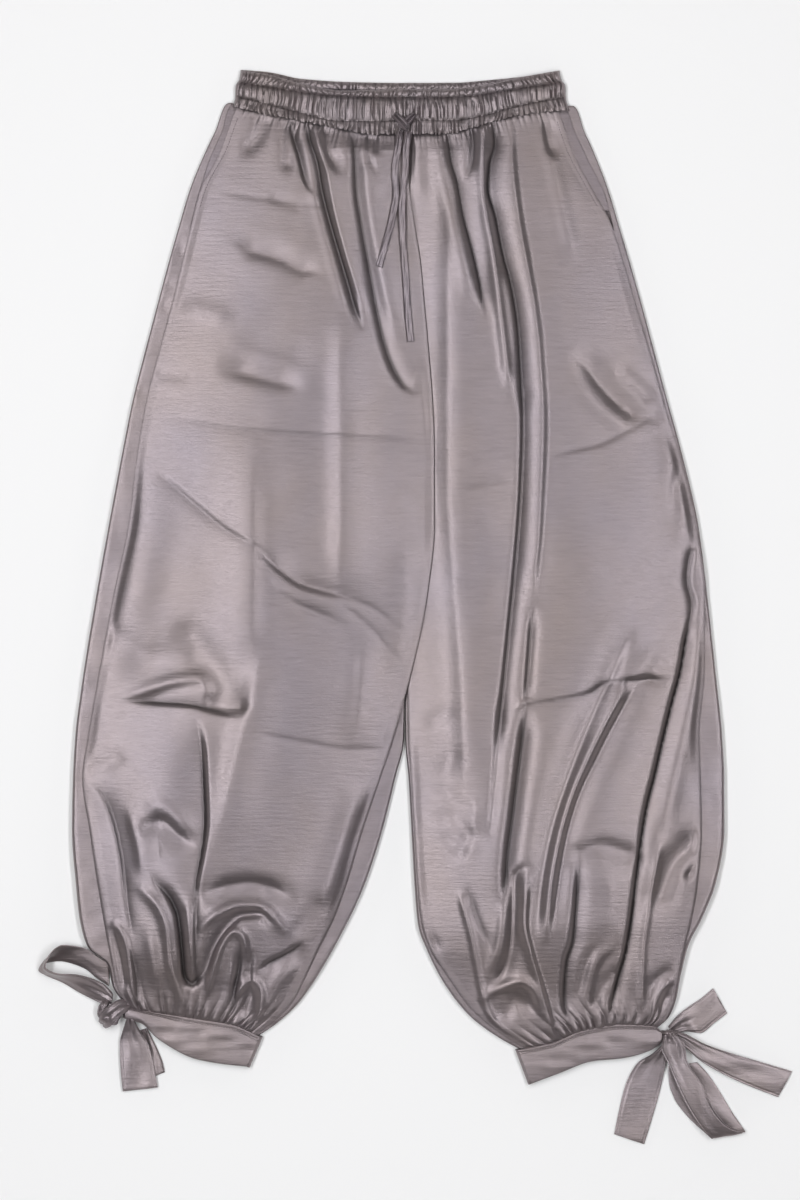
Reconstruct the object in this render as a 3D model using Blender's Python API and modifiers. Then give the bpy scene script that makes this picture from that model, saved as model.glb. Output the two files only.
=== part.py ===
"""Satin balloon trousers with tied cuffs, laid flat on their back.

All sizes below are millimetres on a cutting board 800 wide and 1200 long: x runs to the
right and y runs down the board, from the waist to the cuffs. The board's z is up. The
wearer's right leg lies on the left of the board. The finished objects are in metres, with
the origin under the middle of the garment, +Y towards the waist and +Z up.
"""
import functools
import math

import bmesh
import bpy
import numpy as np

# Cloth, seams and layers
CLOTH = 1.5
SEAM_GAP = 0.4
LAYER_GAP = 0.8
TUCK = 3.0
LIP = 5.0
LIP_HEIGHT = 3.6
STRIP_REST = 0.5
FOLD_ROUNDNESS = 0.62
FACING_TUCK = 3.5
FACING_DROP = 0.8
EDGE_PLAIN = 5.0
CROWN_SHAPE = 0.85
FLOOR_SOFTNESS = 1.5

# The garment's middle on the board, which becomes the origin
MIDDLE_X = 415.1
MIDDLE_Y = 607.0
MM = 0.001

# Waistband: two casings, one lying on the other, gathered by the elastic
BAND_START_X = 235.0
BAND_SPAN = 332.0
BAND_FRONT_UNDER = 5.6
BAND_FRONT_TOP = 8.0
BAND_FRONT_PUFF = 1.5
BAND_BACK_UNDER = 0.0
BAND_BACK_TOP = 3.2
BAND_BACK_PUFF = 1.2
BAND_WAVES = 58
BAND_WAVE_HEIGHT = 1.5
BAND_END_STEPS = 4.0
BAND_END_DROP = 0.4
BAND_RIM_DROP = 0.8
BAND_RUFFLE_TOP = 0.6
BAND_RUFFLE_LOWER = 1.0
BAND_TUCK = 5.0
BAND_CLEAR = 4.2
PANEL_AT_WAIST = 5.2

# Cuffs: flattened tubes that hold the gathered ends of the legs
CUFF_HEIGHT = 8.8
CUFF_LIFT = 1.8
PANEL_AT_CUFF = 6.9
STRIP_AT_CUFF = 5.0
CUFF_ROUNDNESS = 0.35
CUFF_STEPS_ACROSS = 14
CUFF_STEPS_ROUND = 4
CUFF_ROWS = 2
CUFF_GATHER_HEIGHT = 2.2
WAIST_GATHER_HEIGHT = 1.2

# Stations of the leg tables between which one form gives way to the next
WAIST_ROWS = (0.0, 1.2)
WAIST_ROW_STEP = 38.0
BACK_WAIST_ROWS = (0.0, 0.6)
FOLDS_BEGIN = (0.2, 0.7)
FOLDS_END = (19.7, 20.3)
WAIST_GATHERS_BEGIN = (0.2, 0.36)
WAIST_GATHERS_END = (0.6, 1.8)
CUFF_GATHERS_BEGIN = (18.2, 19.6)
CUFF_GATHERS_END = (19.9, 20.4)
UNDER_BAND = (0.2, 0.45)
UNDER_CUFF = (19.9, 20.4)
BACK_LIFTS = (19.6, 20.2)
BACK_UNDER_CUFF = (19.7, 20.2)
LEGS_PART = (11.2, 13.0)

# Front panel mesh: columns across and rows down, in stations of the leg tables
FRONT_COLUMNS = 28
FRONT_ROWS = (
    [0.0, 0.2, 0.36, 0.6]
    + [1.0 + 0.8 * i for i in range(22)]
    + [18.4, 18.9, 19.4, 19.8, 20.1, 20.4, 21.0]
)
POCKET_ROWS = [0.3, 0.65, 1.0, 1.4, 1.8, 2.2, 2.6]
BACK_ROWS = [0.0] + POCKET_ROWS + [3.5 + 1.15 * i for i in range(13)] + [18.3, 19.2, 19.8, 20.3, 21.0]
ARC_STEPS = 4

SATIN = (0.29, 0.25, 0.265)
SATIN_ROUGHNESS = 0.42

# One row for each station down the leg, from the waist to the cuff:
# fold: the outer edge of the leg, where the back panel turns up to the front
# front: the front panel's outer edge;  mouth: how far the back's seam lies outside it
# edge: the front panel's inner edge;  inner: the back panel's inner fold or seam
# bow: how far the row sags;  side: the outer fold's height;  top: the inner edge's height
# crown: how much the front swells between its edges
LEG_COLUMNS = (
    "fold_x", "fold_y", "front_x", "front_y", "mouth", "edge_x", "edge_y",
    "inner_x", "inner_y", "bow", "side", "top", "crown",
)
RIGHT_LEG = (
    (230.0, 103, 240.0, 106, 6.0, 405, 130, 404.7, 126, 0, 3.4, 5.2, 0.0),
    (206.5, 150, 222.0, 150, 8.0, 406, 152, 404.7, 152, 0, 5.0, 10.0, 3.0),
    (190.0, 190, 201.0, 190, 1.0, 409, 190, 404.7, 190, 0, 5.5, 10.2, 5.0),
    (179.5, 225, 191.5, 225, 0.4, 414, 225, 404.7, 225, 0, 6.0, 10.4, 6.0),
    (169.0, 262, 182.5, 262, -TUCK, 420, 262, 404.7, 262, 0, 6.0, 10.5, 7.0),
    (157.5, 305, 172.0, 305, -TUCK, 424, 305, 404.7, 305, 0, 6.0, 10.5, 7.5),
    (143.0, 360, 157.0, 360, -TUCK, 429, 360, 404.7, 360, 0, 6.5, 10.5, 8.0),
    (133.0, 400, 147.0, 400, -TUCK, 432, 400, 404.7, 400, 0, 6.5, 10.5, 8.0),
    (122.0, 455, 137.5, 455, -TUCK, 434, 455, 404.7, 455, 0, 7.0, 10.5, 8.5),
    (109.0, 525, 129.0, 525, -TUCK, 434, 525, 404.7, 525, 0, 7.5, 10.5, 9.0),
    (96.5, 595, 114.0, 595, -TUCK, 427, 595, 404.7, 595, 0, 8.0, 10.5, 10.0),
    (85.0, 665, 101.0, 665, -TUCK, 413, 665, 404.7, 665, 0, 8.0, 10.5, 11.0),
    (75.7, 735, 89.0, 735, -TUCK, 393, 737, 404.0, 737, 2, 9.0, 10.0, 12.0),
    (73.3, 778, 83.0, 778, -TUCK, 380, 778, 395.0, 779, 3, 10.0, 10.0, 13.0),
    (72.3, 830, 90.5, 830, -TUCK, 362, 831, 381.5, 833, 3, 11.0, 10.5, 14.0),
    (76.0, 880, 98.0, 880, -TUCK, 347, 882, 364.0, 886, 2, 12.0, 11.0, 15.0),
    (80.0, 918, 104.0, 916, -TUCK, 333, 920, 346.0, 925, 0, 12.0, 11.0, 15.0),
    (88.0, 946, 108.5, 941, -TUCK, 319, 948, 331.5, 952, -3, 11.5, 11.0, 13.0),
    (108.0, 964, 113.0, 964, -TUCK, 306, 975, 315.5, 979, -5, 10.5, 10.5, 9.5),
    (113.0, 986, 117.5, 986, -TUCK, 291, 1003, 296.5, 1005, -7, 8.5, 9.5, 5.0),
    (122.0, 1000, 125.0, 1000, -TUCK, 272, 1022, 275.5, 1024, -5, 7.0, 8.5, 2.5),
    (133.5, 1013, 135.5, 1013, -TUCK, 252, 1037, 254.5, 1038, -2, 5.1, 6.9, 0.0),
)
LEFT_LEG = (
    (572.0, 107, 556.0, 107, 6.0, 406, 130, 405.3, 126, 0, 3.4, 5.2, 0.0),
    (592.5, 150, 571.0, 150, 12.0, 407, 152, 405.3, 152, 0, 5.0, 6.2, 3.0),
    (608.0, 190, 592.0, 190, 11.0, 404, 190, 405.3, 190, 0, 5.5, 6.4, 5.0),
    (618.5, 225, 611.0, 225, 1.5, 409, 225, 405.3, 225, 0, 6.0, 6.5, 6.0),
    (629.5, 262, 623.0, 262, -TUCK, 415, 262, 405.3, 262, 0, 6.0, 6.5, 7.0),
    (641.6, 305, 635.5, 305, -TUCK, 419, 305, 405.3, 305, 0, 6.0, 6.5, 7.5),
    (656.3, 360, 652.0, 360, -3.5, 424, 360, 405.3, 360, 0, 6.5, 6.5, 8.0),
    (667.0, 400, 663.0, 400, -4.0, 427, 400, 405.3, 400, 0, 6.5, 6.5, 8.0),
    (682.0, 455, 679.5, 455, -5.0, 429, 455, 405.3, 455, 0, 7.0, 6.5, 8.5),
    (698.0, 525, 695.5, 525, -5.0, 429, 525, 405.3, 525, 0, 7.5, 6.5, 9.0),
    (707.0, 595, 704.5, 595, -5.0, 422, 595, 405.3, 595, 0, 8.0, 6.5, 10.0),
    (714.5, 665, 704.0, 667, -TUCK, 408, 665, 405.3, 665, 0, 8.0, 7.0, 11.0),
    (721.7, 735, 698.5, 735, -TUCK, 409, 737, 405.3, 737, 2, 9.0, 8.5, 12.0),
    (723.8, 778, 700.0, 778, -TUCK, 411, 778, 408.5, 779, 3, 10.0, 9.5, 13.0),
    (724.0, 830, 701.0, 830, -TUCK, 414, 831, 411.5, 833, 3, 11.0, 10.5, 14.0),
    (716.0, 880, 697.0, 880, -TUCK, 417, 882, 414.5, 886, 2, 12.0, 11.0, 15.0),
    (701.5, 918, 691.0, 918, -TUCK, 421, 920, 418.0, 925, 0, 12.0, 11.0, 15.0),
    (688.0, 945, 685.0, 943, -4.0, 430, 948, 427.0, 950, -3, 11.5, 11.0, 13.0),
    (681.0, 972, 678.5, 972, -4.0, 447, 975, 441.0, 978, -7, 10.5, 10.5, 9.5),
    (675.5, 1000, 673.0, 1000, -4.0, 477, 1014, 470.0, 1016, -11, 8.5, 9.5, 5.0),
    (669.0, 1016, 666.5, 1016, -4.0, 513, 1041, 508.5, 1043, -12, 7.0, 8.5, 2.5),
    (654.0, 1030, 652.0, 1030, -TUCK, 537, 1054, 534.0, 1055, -9, 5.1, 6.9, 0.0),
)

# Waistband lines from end to end: the top edge, two stitch rows and the ruffled lower edge
BAND_COLUMNS = ("x", "top", "upper_stitch", "lower_stitch", "lower")
BAND_FRONT = (
    (235, 71.0, 83.0, 97.0, 107.0),
    (262, 75.0, 87.0, 103.0, 114.0),
    (300, 84.0, 93.0, 113.0, 121.0),
    (345, 91.0, 97.5, 122.0, 130.0),
    (375, 90.5, 98.5, 122.0, 135.0),
    (400, 89.5, 99.0, 121.0, 135.0),
    (450, 89.5, 98.5, 121.0, 134.0),
    (480, 86.5, 96.0, 117.0, 126.0),
    (505, 82.0, 92.0, 110.0, 119.0),
    (530, 77.0, 88.0, 104.0, 114.0),
    (567, 71.0, 83.0, 98.0, 111.0),
)
BAND_BACK = (
    (235, 70.0, 80.0, 93.0, 99.0),
    (262, 72.0, 82.0, 98.0, 104.0),
    (300, 79.0, 88.0, 104.0, 110.0),
    (345, 82.0, 91.0, 112.0, 118.0),
    (400, 83.0, 92.0, 116.0, 122.0),
    (450, 83.0, 92.0, 115.0, 120.0),
    (505, 79.0, 88.0, 106.0, 111.0),
    (530, 76.5, 86.0, 100.0, 106.0),
    (567, 70.5, 80.0, 93.0, 102.0),
)
# The band's two ends lean outwards towards the hips: y, left end, right end
BAND_ENDS = (
    (68, 241.0, 559.0),
    (80, 239.0, 561.5),
    (86, 235.5, 565.5),
    (98, 235.0, 566.0),
    (112, 231.5, 569.5),
    (140, 231.5, 569.5),
)

# Folds of the fronts, one row each: half width, height (below zero for a trough), route
RIGHT_FOLDS = (
    (7, -3.5, ((289, 122), (301, 160), (312, 192), (322, 196))),
    (7, 3.5, ((300, 124), (309, 160), (318, 205), (334, 262), (352, 318))),
    (8, -4.5, ((308, 124), (319, 165), (329, 215), (348, 280), (363, 332))),
    (8, 3.0, ((322, 126), (336, 190), (356, 250), (366, 310))),
    (9, -4.5, ((352, 136), (357, 190), (370, 270), (385, 345), (405, 386), (427, 391))),
    (8, 3.0, ((364, 140), (370, 200), (382, 270), (402, 350))),
    (7, -2.5, ((367, 145), (375, 172))),
    (9, -2.5, ((262, 128), (252, 142))),
    (10, -2.5, ((250, 250), (275, 258), (297, 270))),
    (11, -4.0, ((215, 352), (262, 352), (330, 364))),
    (9, 3.5, ((215, 366), (262, 372), (312, 380))),
    (9, -3.0, ((215, 378), (262, 384), (305, 390))),
    (16, 3.0, ((345, 300), (345, 450), (338, 620))),
    (16, 2.5, ((250, 430), (250, 560), (244, 700))),
    (9, -2.5, ((163, 480), (230, 532), (300, 583), (360, 600), (402, 628))),
    (9, 2.5, ((200, 500), (258, 540), (318, 582), (370, 596))),
    (10, 5.0, ((122, 696), (150, 687), (195, 672), (205, 684), (197, 708))),
    (12, -5.0, ((130, 708), (170, 697), (190, 690))),
    (12, -4.5, ((222, 640), (218, 690), (240, 716))),
    (12, 3.5, ((275, 620), (240, 760), (215, 880))),
    (10, -3.5, ((190, 716), (204, 780), (203, 850), (195, 905))),
    (12, 4.0, ((150, 800), (165, 812), (184, 850), (188, 900))),
    (11, -4.5, ((145, 835), (160, 821), (175, 833), (190, 870))),
    (9, -4.0, ((84, 780), (105, 792), (118, 830), (124, 880), (130, 950), (134, 1000))),
    (10, 4.0, ((95, 800), (110, 850), (120, 925), (124, 990))),
    (12, 3.5, ((360, 780), (335, 860), (300, 930), (262, 985))),
    (10, 6.5, ((205, 930), (222, 909), (255, 902), (278, 925), (282, 950))),
    (8, -6.0, ((205, 986), (214, 950), (232, 926), (262, 916), (272, 935))),
    (9, -5.0, ((200, 900), (225, 893), (255, 887), (295, 905))),
    (8, 5.5, ((210, 985), (220, 955), (235, 932), (248, 950))),
    (8, 5.0, ((145, 890), (168, 925), (178, 985))),
    (8, -5.5, ((160, 880), (179, 915), (185, 978), (192, 984))),
    (8, 4.0, ((190, 920), (194, 960), (196, 1000))),
    (9, -4.5, ((240, 990), (256, 978), (262, 1000))),
    (9, 4.5, ((258, 1012), (272, 985), (300, 950))),
)
LEFT_FOLDS = (
    (8, -4.5, ((448, 136), (460, 190), (474, 255), (486, 322))),
    (8, 3.5, ((432, 140), (446, 220), (462, 300))),
    (12, 3.0, ((452, 220), (452, 480), (460, 600), (468, 800))),
    (8, 4.0, ((482, 130), (483, 175), (492, 250), (502, 330), (508, 385))),
    (8, -5.5, ((494, 126), (489, 180), (503, 255), (518, 330), (523, 420), (515, 570))),
    (9, -4.5, ((515, 570), (506, 660), (498, 740), (490, 820))),
    (9, 5.5, ((513, 126), (513, 180), (525, 260), (540, 370), (540, 480), (532, 600))),
    (10, -4.5, ((546, 520), (532, 620), (525, 700), (514, 800), (500, 905))),
    (8, -4.5, ((548, 132), (553, 145), (558, 160))),
    (9, 3.5, ((540, 138), (560, 200), (577, 272))),
    (9, -3.0, ((566, 124), (580, 160), (600, 205))),
    (10, -3.0, ((570, 350), (605, 390), (645, 424))),
    (9, 2.5, ((560, 372), (600, 410), (640, 440))),
    (9, -3.0, ((655, 415), (630, 430), (570, 452), (520, 480), (460, 490))),
    (9, -2.5, ((625, 375), (645, 398))),
    (9, -2.5, ((680, 470), (673, 490), (676, 522))),
    (9, -4.0, ((697, 548), (688, 585), (690, 610), (672, 700), (650, 790), (638, 860))),
    (9, -4.0, ((638, 860), (625, 950), (608, 1015))),
    (11, 4.5, ((682, 600), (660, 690), (636, 770), (622, 860))),
    (11, -5.0, ((633, 620), (597, 700), (560, 790), (543, 870), (532, 940))),
    (11, 5.0, ((622, 690), (590, 745), (562, 815), (552, 900))),
    (10, -5.0, ((642, 680), (597, 757), (568, 830), (554, 925))),
    (12, 3.0, ((480, 610), (484, 700), (478, 790))),
    (9, -5.0, ((536, 870), (517, 876), (512, 930), (495, 985))),
    (9, 4.5, ((526, 885), (526, 930), (540, 985), (550, 1024))),
    (9, 4.0, ((450, 880), (474, 950), (490, 1010))),
    (9, -4.0, ((440, 880), (458, 950), (476, 1000))),
    (9, -4.5, ((578, 850), (575, 910), (564, 985), (572, 1020))),
    (9, 5.0, ((598, 860), (590, 930), (582, 1010))),
    (8, -4.0, ((615, 945), (598, 968), (592, 1010))),
    (9, 4.0, ((655, 850), (645, 920), (638, 1000))),
    (8, 5.0, ((485, 995), (505, 984), (530, 984), (540, 1008))),
    (8, -4.5, ((500, 1010), (515, 996), (530, 1010))),
    (9, -4.0, ((682, 860), (668, 900), (660, 960), (652, 1012))),
    (9, -4.0, ((678, 985), (662, 990), (652, 1014))),
)

# Cuffs: points along the upper seam and the lower edge, from the tied end to the far end
RIGHT_CUFF = {
    "upper": ((121.5, 1005), (135, 1008), (160, 1012), (200, 1018), (235, 1024), (263, 1036)),
    "lower": ((123.5, 1017), (140, 1022), (158, 1038), (195, 1058), (225, 1064), (250, 1067)),
}
LEFT_CUFF = {
    "upper": ((664, 1030), (655, 1025), (620, 1023), (580, 1030), (550, 1042), (515, 1049)),
    "lower": ((665, 1040), (654, 1048), (625, 1057), (590, 1061), (560, 1072), (528, 1084)),
}

# Ties: one row for each place along the strip, with its two edges (x, y, z at mid cloth)
TIES = {
    "tie_right_loop": (
        (109, 992, 9.0, 106.8, 1004.3, 8.0),
        (94, 979, 13.0, 86, 995, 2.0),
        (76, 973, 17.0, 62, 982, 1.3),
        (60, 972, 19.0, 46, 975, 1.3),
        (47, 965, 19.0, 39, 970, 1.3),
        (52, 952, 17.0, 43, 964, 1.3),
        (64, 944, 12.0, 60, 961, 1.3),
        (84, 949, 7.0, 84, 968, 1.3),
        (99, 960, 4.5, 98, 979, 1.3),
    ),
    "tie_right_tail": (
        (129, 1027, 4.5, 136, 1025, 4.5),
        (122, 1038, 3.5, 145, 1036, 3.5),
        (120, 1052, 3.5, 151, 1052, 3.5),
        (121, 1072, 3.5, 155, 1070, 3.5),
        (123, 1091, 3.5, 158, 1087, 3.5),
    ),
    "tie_right_tail_behind": (
        (140, 1030, 1.0, 147, 1028, 1.0),
        (144, 1046, 1.0, 158, 1050, 1.0),
        (146, 1062, 1.0, 163, 1063, 1.0),
        (150, 1078, 1.0, 165, 1072, 1.0),
    ),
    "tie_left_tail_up": (
        (669.5, 1024.5, 5.9, 677, 1031.5, 5.9),
        (675, 1017, 5.0, 686, 1031, 5.0),
        (686, 1008, 3.0, 700, 1033, 1.5),
        (701, 998, 1.5, 714, 1023, 1.5),
        (713, 988, 1.5, 727, 1013, 1.5),
    ),
    "tie_left_tail_side": (
        (674.8, 1031.4, 8.0, 678.6, 1040.0, 8.0),
        (704, 1043, 7.0, 700, 1060, 7.0),
        (732, 1053, 5.0, 724, 1074, 5.0),
        (762, 1062, 2.5, 750, 1086, 2.5),
        (792, 1071, 1.5, 778, 1097, 1.5),
    ),
    "tie_left_loop": (
        (664, 1046, 9.0, 675, 1042, 9.0),
        (668, 1064, 12.0, 686, 1058, 12.5),
        (678, 1088, 13.0, 702, 1084, 14.0),
        (690, 1111, 11.5, 713, 1108, 12.5),
        (704, 1131, 8.5, 728, 1125, 9.0),
        (711, 1138, 4.8, 745, 1131, 4.8),
        (703, 1131, 1.4, 741, 1125, 1.4),
        (688, 1117, 1.2, 732, 1112, 1.2),
        (674, 1098, 1.2, 720, 1092, 1.2),
        (669, 1082, 1.2, 708, 1074, 1.2),
        (668, 1066, 1.2, 697, 1062, 1.2),
    ),
    "tie_left_tail_down": (
        (655, 1051, 6.8, 666, 1046.5, 6.8),
        (638, 1062, 3.0, 665, 1066, 3.0),
        (626, 1083, 1.4, 660, 1090, 1.4),
        (619, 1110, 1.4, 652, 1118, 1.4),
        (614, 1134, 1.4, 644, 1144, 1.4),
    ),
}
TIE_THICKNESS = 1.8
TIE_COLUMNS = 3
ROWS_PER_STATION = 2

# Knots: centre, half sizes and the turn of the longer side
KNOTS = {
    "tie_right_knot": ((110.0, 1015.3, 8.0), (12.8, 11.3, 7.8), 25.0),
    "tie_left_knot": ((670.4, 1035.0, 8.0), (8.5, 5.0, 7.7), 55.0),
    "drawstring_knot": ((404.0, 127.0, 13.3), (7.0, 5.0, 2.6), 0.0),
}
KNOT_SEGMENTS = 14
KNOT_RINGS = 9
KNOT_PLEATS = 5
KNOT_PLEAT_DEPTH = 0.07

# Drawstring ends: flat ties that lie on the fronts; raised where one crosses the other
STRING_WIDTH = 7.5
STRING_THICKNESS = 1.5
STRINGS = {
    "drawstring_end_right": (
        (400, 133), (398, 150), (395, 170), (396, 195), (391, 225), (385, 247), (379, 268),
    ),
    "drawstring_end_left": (
        (408, 133), (406, 152), (405, 175), (403, 195), (402, 212), (403, 240), (406, 280),
        (408, 312), (411, 345),
    ),
}
STRING_RISE = {"drawstring_end_right": 0.0, "drawstring_end_left": 2.6}
STRING_PARTING = 250.0
STRING_PARTING_RUN = 30.0
STRING_CLEARANCE = 1.5
STRING_REACH = 9.0
STRING_STATIONS = (0.2, 7.0, 0.12)
ROW_REACH = 30.0
BAND_EDGE = 140.0
BAND_TOP = 10.3


def slopes(x, y):
    """Slopes of a curve through given points that never overshoots them."""
    h = np.diff(x)
    d = np.diff(y, axis=0) / h[:, None]
    m = np.zeros_like(y)
    m[0], m[-1] = d[0], d[-1]
    for i in range(1, len(x) - 1):
        w1, w2 = 2 * h[i] + h[i - 1], h[i] + 2 * h[i - 1]
        same = d[i - 1] * d[i] > 0
        safe_a = np.where(same, d[i - 1], 1.0)
        safe_b = np.where(same, d[i], 1.0)
        m[i] = np.where(same, (w1 + w2) / (w1 / safe_a + w2 / safe_b), 0.0)
    return m


def curve(x, y, at):
    """Values at the places `at` on the curve through the points (x, y)."""
    x = np.asarray(x, float)
    y = np.asarray(y, float)
    if y.ndim == 1:
        y = y[:, None]
    m = slopes(x, y)
    at = np.clip(np.atleast_1d(np.asarray(at, float)), x[0], x[-1])
    i = np.clip(np.searchsorted(x, at, side="right") - 1, 0, len(x) - 2)
    h = (x[i + 1] - x[i])[:, None]
    t = ((at - x[i])[:, None]) / h
    a = (1 + 2 * t) * (1 - t) ** 2
    b = t * (1 - t) ** 2
    c = t ** 2 * (3 - 2 * t)
    d = t ** 2 * (t - 1)
    return a * y[i] + b * h * m[i] + c * y[i + 1] + d * h * m[i + 1]


def smooth(value, low, high):
    """0 below low, 1 above high, and a soft step between."""
    t = np.clip((value - low) / (high - low), 0.0, 1.0)
    return t * t * (3 - 2 * t)


@functools.lru_cache(maxsize=None)
def station(leg, v):
    """The leg table's row at station v, by column name."""
    values = curve(np.arange(len(leg)), np.array(leg, float), v)[0]
    return dict(zip(LEG_COLUMNS, values))


def band_line(table, name, x):
    """The y of one of the waistband's lines at x."""
    column = BAND_COLUMNS.index(name)
    rows = np.array(table, float)
    return curve(rows[:, 0], rows[:, column], x)[:, 0]


def distance_to_route(x, y, route):
    """Distance from points to a polyline, and how far along it, 0 to 1, the nearest place is."""
    route = np.array(route, float)
    lengths = np.hypot(*np.diff(route, axis=0).T)
    before = np.concatenate([[0.0], np.cumsum(lengths)])
    best = np.full(np.shape(x), 1e9)
    along = np.zeros(np.shape(x))
    for i, length in enumerate(lengths):
        direction = (route[i + 1] - route[i]) / length
        t = np.clip((x - route[i][0]) * direction[0] + (y - route[i][1]) * direction[1], 0, length)
        gap = np.hypot(x - route[i][0] - t * direction[0], y - route[i][1] - t * direction[1])
        nearer = gap < best
        best = np.where(nearer, gap, best)
        along = np.where(nearer, (before[i] + t) / before[-1], along)
    return best, along


def fold_height(x, y, folds):
    """Height that the folds add at board places (x, y); each fold dies away at its ends."""
    total = np.zeros(np.shape(x))
    for half_width, height, route in folds:
        gap, along = distance_to_route(x, y, route)
        ends = smooth(along, -0.25, 0.18) * (1 - smooth(along, 0.8, 1.2))
        total = total + height * ends * np.exp(-((gap / half_width) ** 2))
    return total


def front_point(leg, folds, u, v):
    """A point of a front panel's upper face: u from the side to the middle, v down the leg."""
    row = station(leg, v)
    across = np.array([row["edge_x"] - row["front_x"], row["edge_y"] - row["front_y"]])
    x = row["front_x"] + across[0] * u
    y = row["front_y"] + across[1] * u + row["bow"] * 4 * u * (1 - u)
    at_waist = 1 - smooth(v, *WAIST_ROWS)
    under_band = band_line(BAND_FRONT, "lower", x)[0] - BAND_TUCK
    y += (under_band + v * WAIST_ROW_STEP - y) * at_waist
    from_edge = min(u, 1 - u) * np.hypot(*across)
    edge_fade = min(1.0, max(0.0, (from_edge - EDGE_PLAIN) / EDGE_PLAIN / 2))
    swell = row["crown"] * max(math.sin(math.pi * u), 0.0) ** CROWN_SHAPE
    z = (row["side"] + CLOTH + LAYER_GAP) * (1 - u) + row["top"] * u + swell
    free = smooth(v, *FOLDS_BEGIN) * (1 - smooth(v, *FOLDS_END))
    z += fold_height(x, y, folds) * edge_fade * free
    lowest = 2 * CLOTH + LAYER_GAP
    if z < lowest + FLOOR_SOFTNESS:
        z = lowest + FLOOR_SOFTNESS * math.exp((z - lowest - FLOOR_SOFTNESS) / FLOOR_SOFTNESS)
    column = round(u * FRONT_COLUMNS)
    wave = (-1) ** column * edge_fade
    near_cuff = smooth(v, *CUFF_GATHERS_BEGIN) * (1 - smooth(v, *CUFF_GATHERS_END))
    near_waist = (1 - smooth(v, *WAIST_GATHERS_END)) * smooth(v, *WAIST_GATHERS_BEGIN)
    z += wave * CUFF_GATHER_HEIGHT * near_cuff
    z += wave * WAIST_GATHER_HEIGHT * near_waist
    z += (PANEL_AT_WAIST - z) * (1 - smooth(v, *UNDER_BAND))
    z += (PANEL_AT_CUFF - z) * smooth(v, *UNDER_CUFF)
    return x, y, z


def strip_width(row, side):
    """Widths of the back panel's strips that lie on top, at the outer and the inner fold."""
    outer = abs(row["front_x"] - row["fold_x"]) - row["mouth"]
    inner = side * (row["inner_x"] - row["edge_x"]) + TUCK
    return max(outer, LIP), max(inner, LIP)


def back_point(leg, side, k, v):
    """A point of a back panel's outer face; k counts round the section from strip to strip."""
    row = station(leg, v)
    fold = np.array([row["fold_x"], row["fold_y"]])
    inner = np.array([row["inner_x"], row["inner_y"]])
    width = np.hypot(*(inner - fold))
    way = (inner - fold) / width
    outer_strip, inner_strip = strip_width(row, side)
    lift = CUFF_LIFT * smooth(v, *BACK_LIFTS)
    joined = 1 - smooth(v, *LEGS_PART)
    at_cuff = smooth(v, *BACK_UNDER_CUFF)
    outer_height = row["side"] + (STRIP_AT_CUFF - row["side"]) * at_cuff
    inner_height = LIP_HEIGHT * joined + (1 - joined) * (row["top"] - CLOTH - LAYER_GAP)
    inner_height += (STRIP_AT_CUFF - inner_height) * at_cuff
    near_side = k < ARC_STEPS + 3
    strip, height = (outer_strip, outer_height) if near_side else (inner_strip, inner_height)
    depth = min(strip - STRIP_REST, FOLD_ROUNDNESS * height)
    step = k if near_side else 2 * ARC_STEPS + 6 - k
    half = (height - lift) / 2
    if step <= 1:
        t = strip - step * (strip - depth) / 2
        z = height
    elif step <= ARC_STEPS + 2:
        angle = math.pi / 2 - math.pi * (step - 2) / ARC_STEPS
        t = depth - depth * math.cos(angle)
        z = lift + half + half * math.sin(angle)
    else:
        t = width / 2
        z = lift
    if not near_side:
        t = width - t
    place = fold + way * t
    bow = row["bow"] * 4 * (t / width) * (1 - t / width)
    below_band = band_line(BAND_BACK, "lower", place[0])[0] + BAND_CLEAR
    y = place[1] + bow
    y += (below_band - y) * (1 - smooth(v, *BACK_WAIST_ROWS))
    return place[0], y, z


def to_metres(x, y, z):
    """Board millimetres to the finished object's metres."""
    return ((x - MIDDLE_X) * MM, (MIDDLE_Y - y) * MM, z * MM)


def clear_scene():
    for item in list(bpy.data.objects):
        bpy.data.objects.remove(item, do_unlink=True)


def satin(name):
    """Mauve-grey satin."""
    material = bpy.data.materials.new(name + "_satin")
    material.use_nodes = True
    shader = material.node_tree.nodes["Principled BSDF"]
    shader.inputs["Base Color"].default_value = (*SATIN, 1.0)
    shader.inputs["Roughness"].default_value = SATIN_ROUGHNESS
    shader.inputs["Metallic"].default_value = 0.0
    return material


def finish_object(name, bm, collection):
    """A smooth-shaded object made from a bmesh."""
    mesh = bpy.data.meshes.new(name)
    bm.to_mesh(mesh)
    bm.free()
    mesh.shade_smooth()
    item = bpy.data.objects.new(name, mesh)
    item.data.materials.append(satin(name))
    collection.objects.link(item)
    return item


def grid_mesh(columns, rows, place):
    """A grid of quads whose point (i, j) lies at place(i, j) on the board, facing up."""
    bm = bmesh.new()
    bmesh.ops.create_grid(bm, x_segments=columns, y_segments=rows, size=0.5)
    for vert in bm.verts:
        i = round((vert.co.x + 0.5) * columns)
        j = round((0.5 - vert.co.y) * rows)
        vert.co = to_metres(*place(i, j))
    return bm


def face_up(bm):
    """Turn the faces over if most of them look down."""
    bm.normal_update()
    if sum(face.normal.z * face.calc_area() for face in bm.faces) < 0:
        bmesh.ops.reverse_faces(bm, faces=bm.faces[:])


def add_wall(item, thickness, offset):
    """Give an open surface the cloth's thickness."""
    wall = item.modifiers.new("Cloth", "SOLIDIFY")
    wall.thickness = thickness * MM
    wall.offset = offset
    wall.use_even_offset = False


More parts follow.
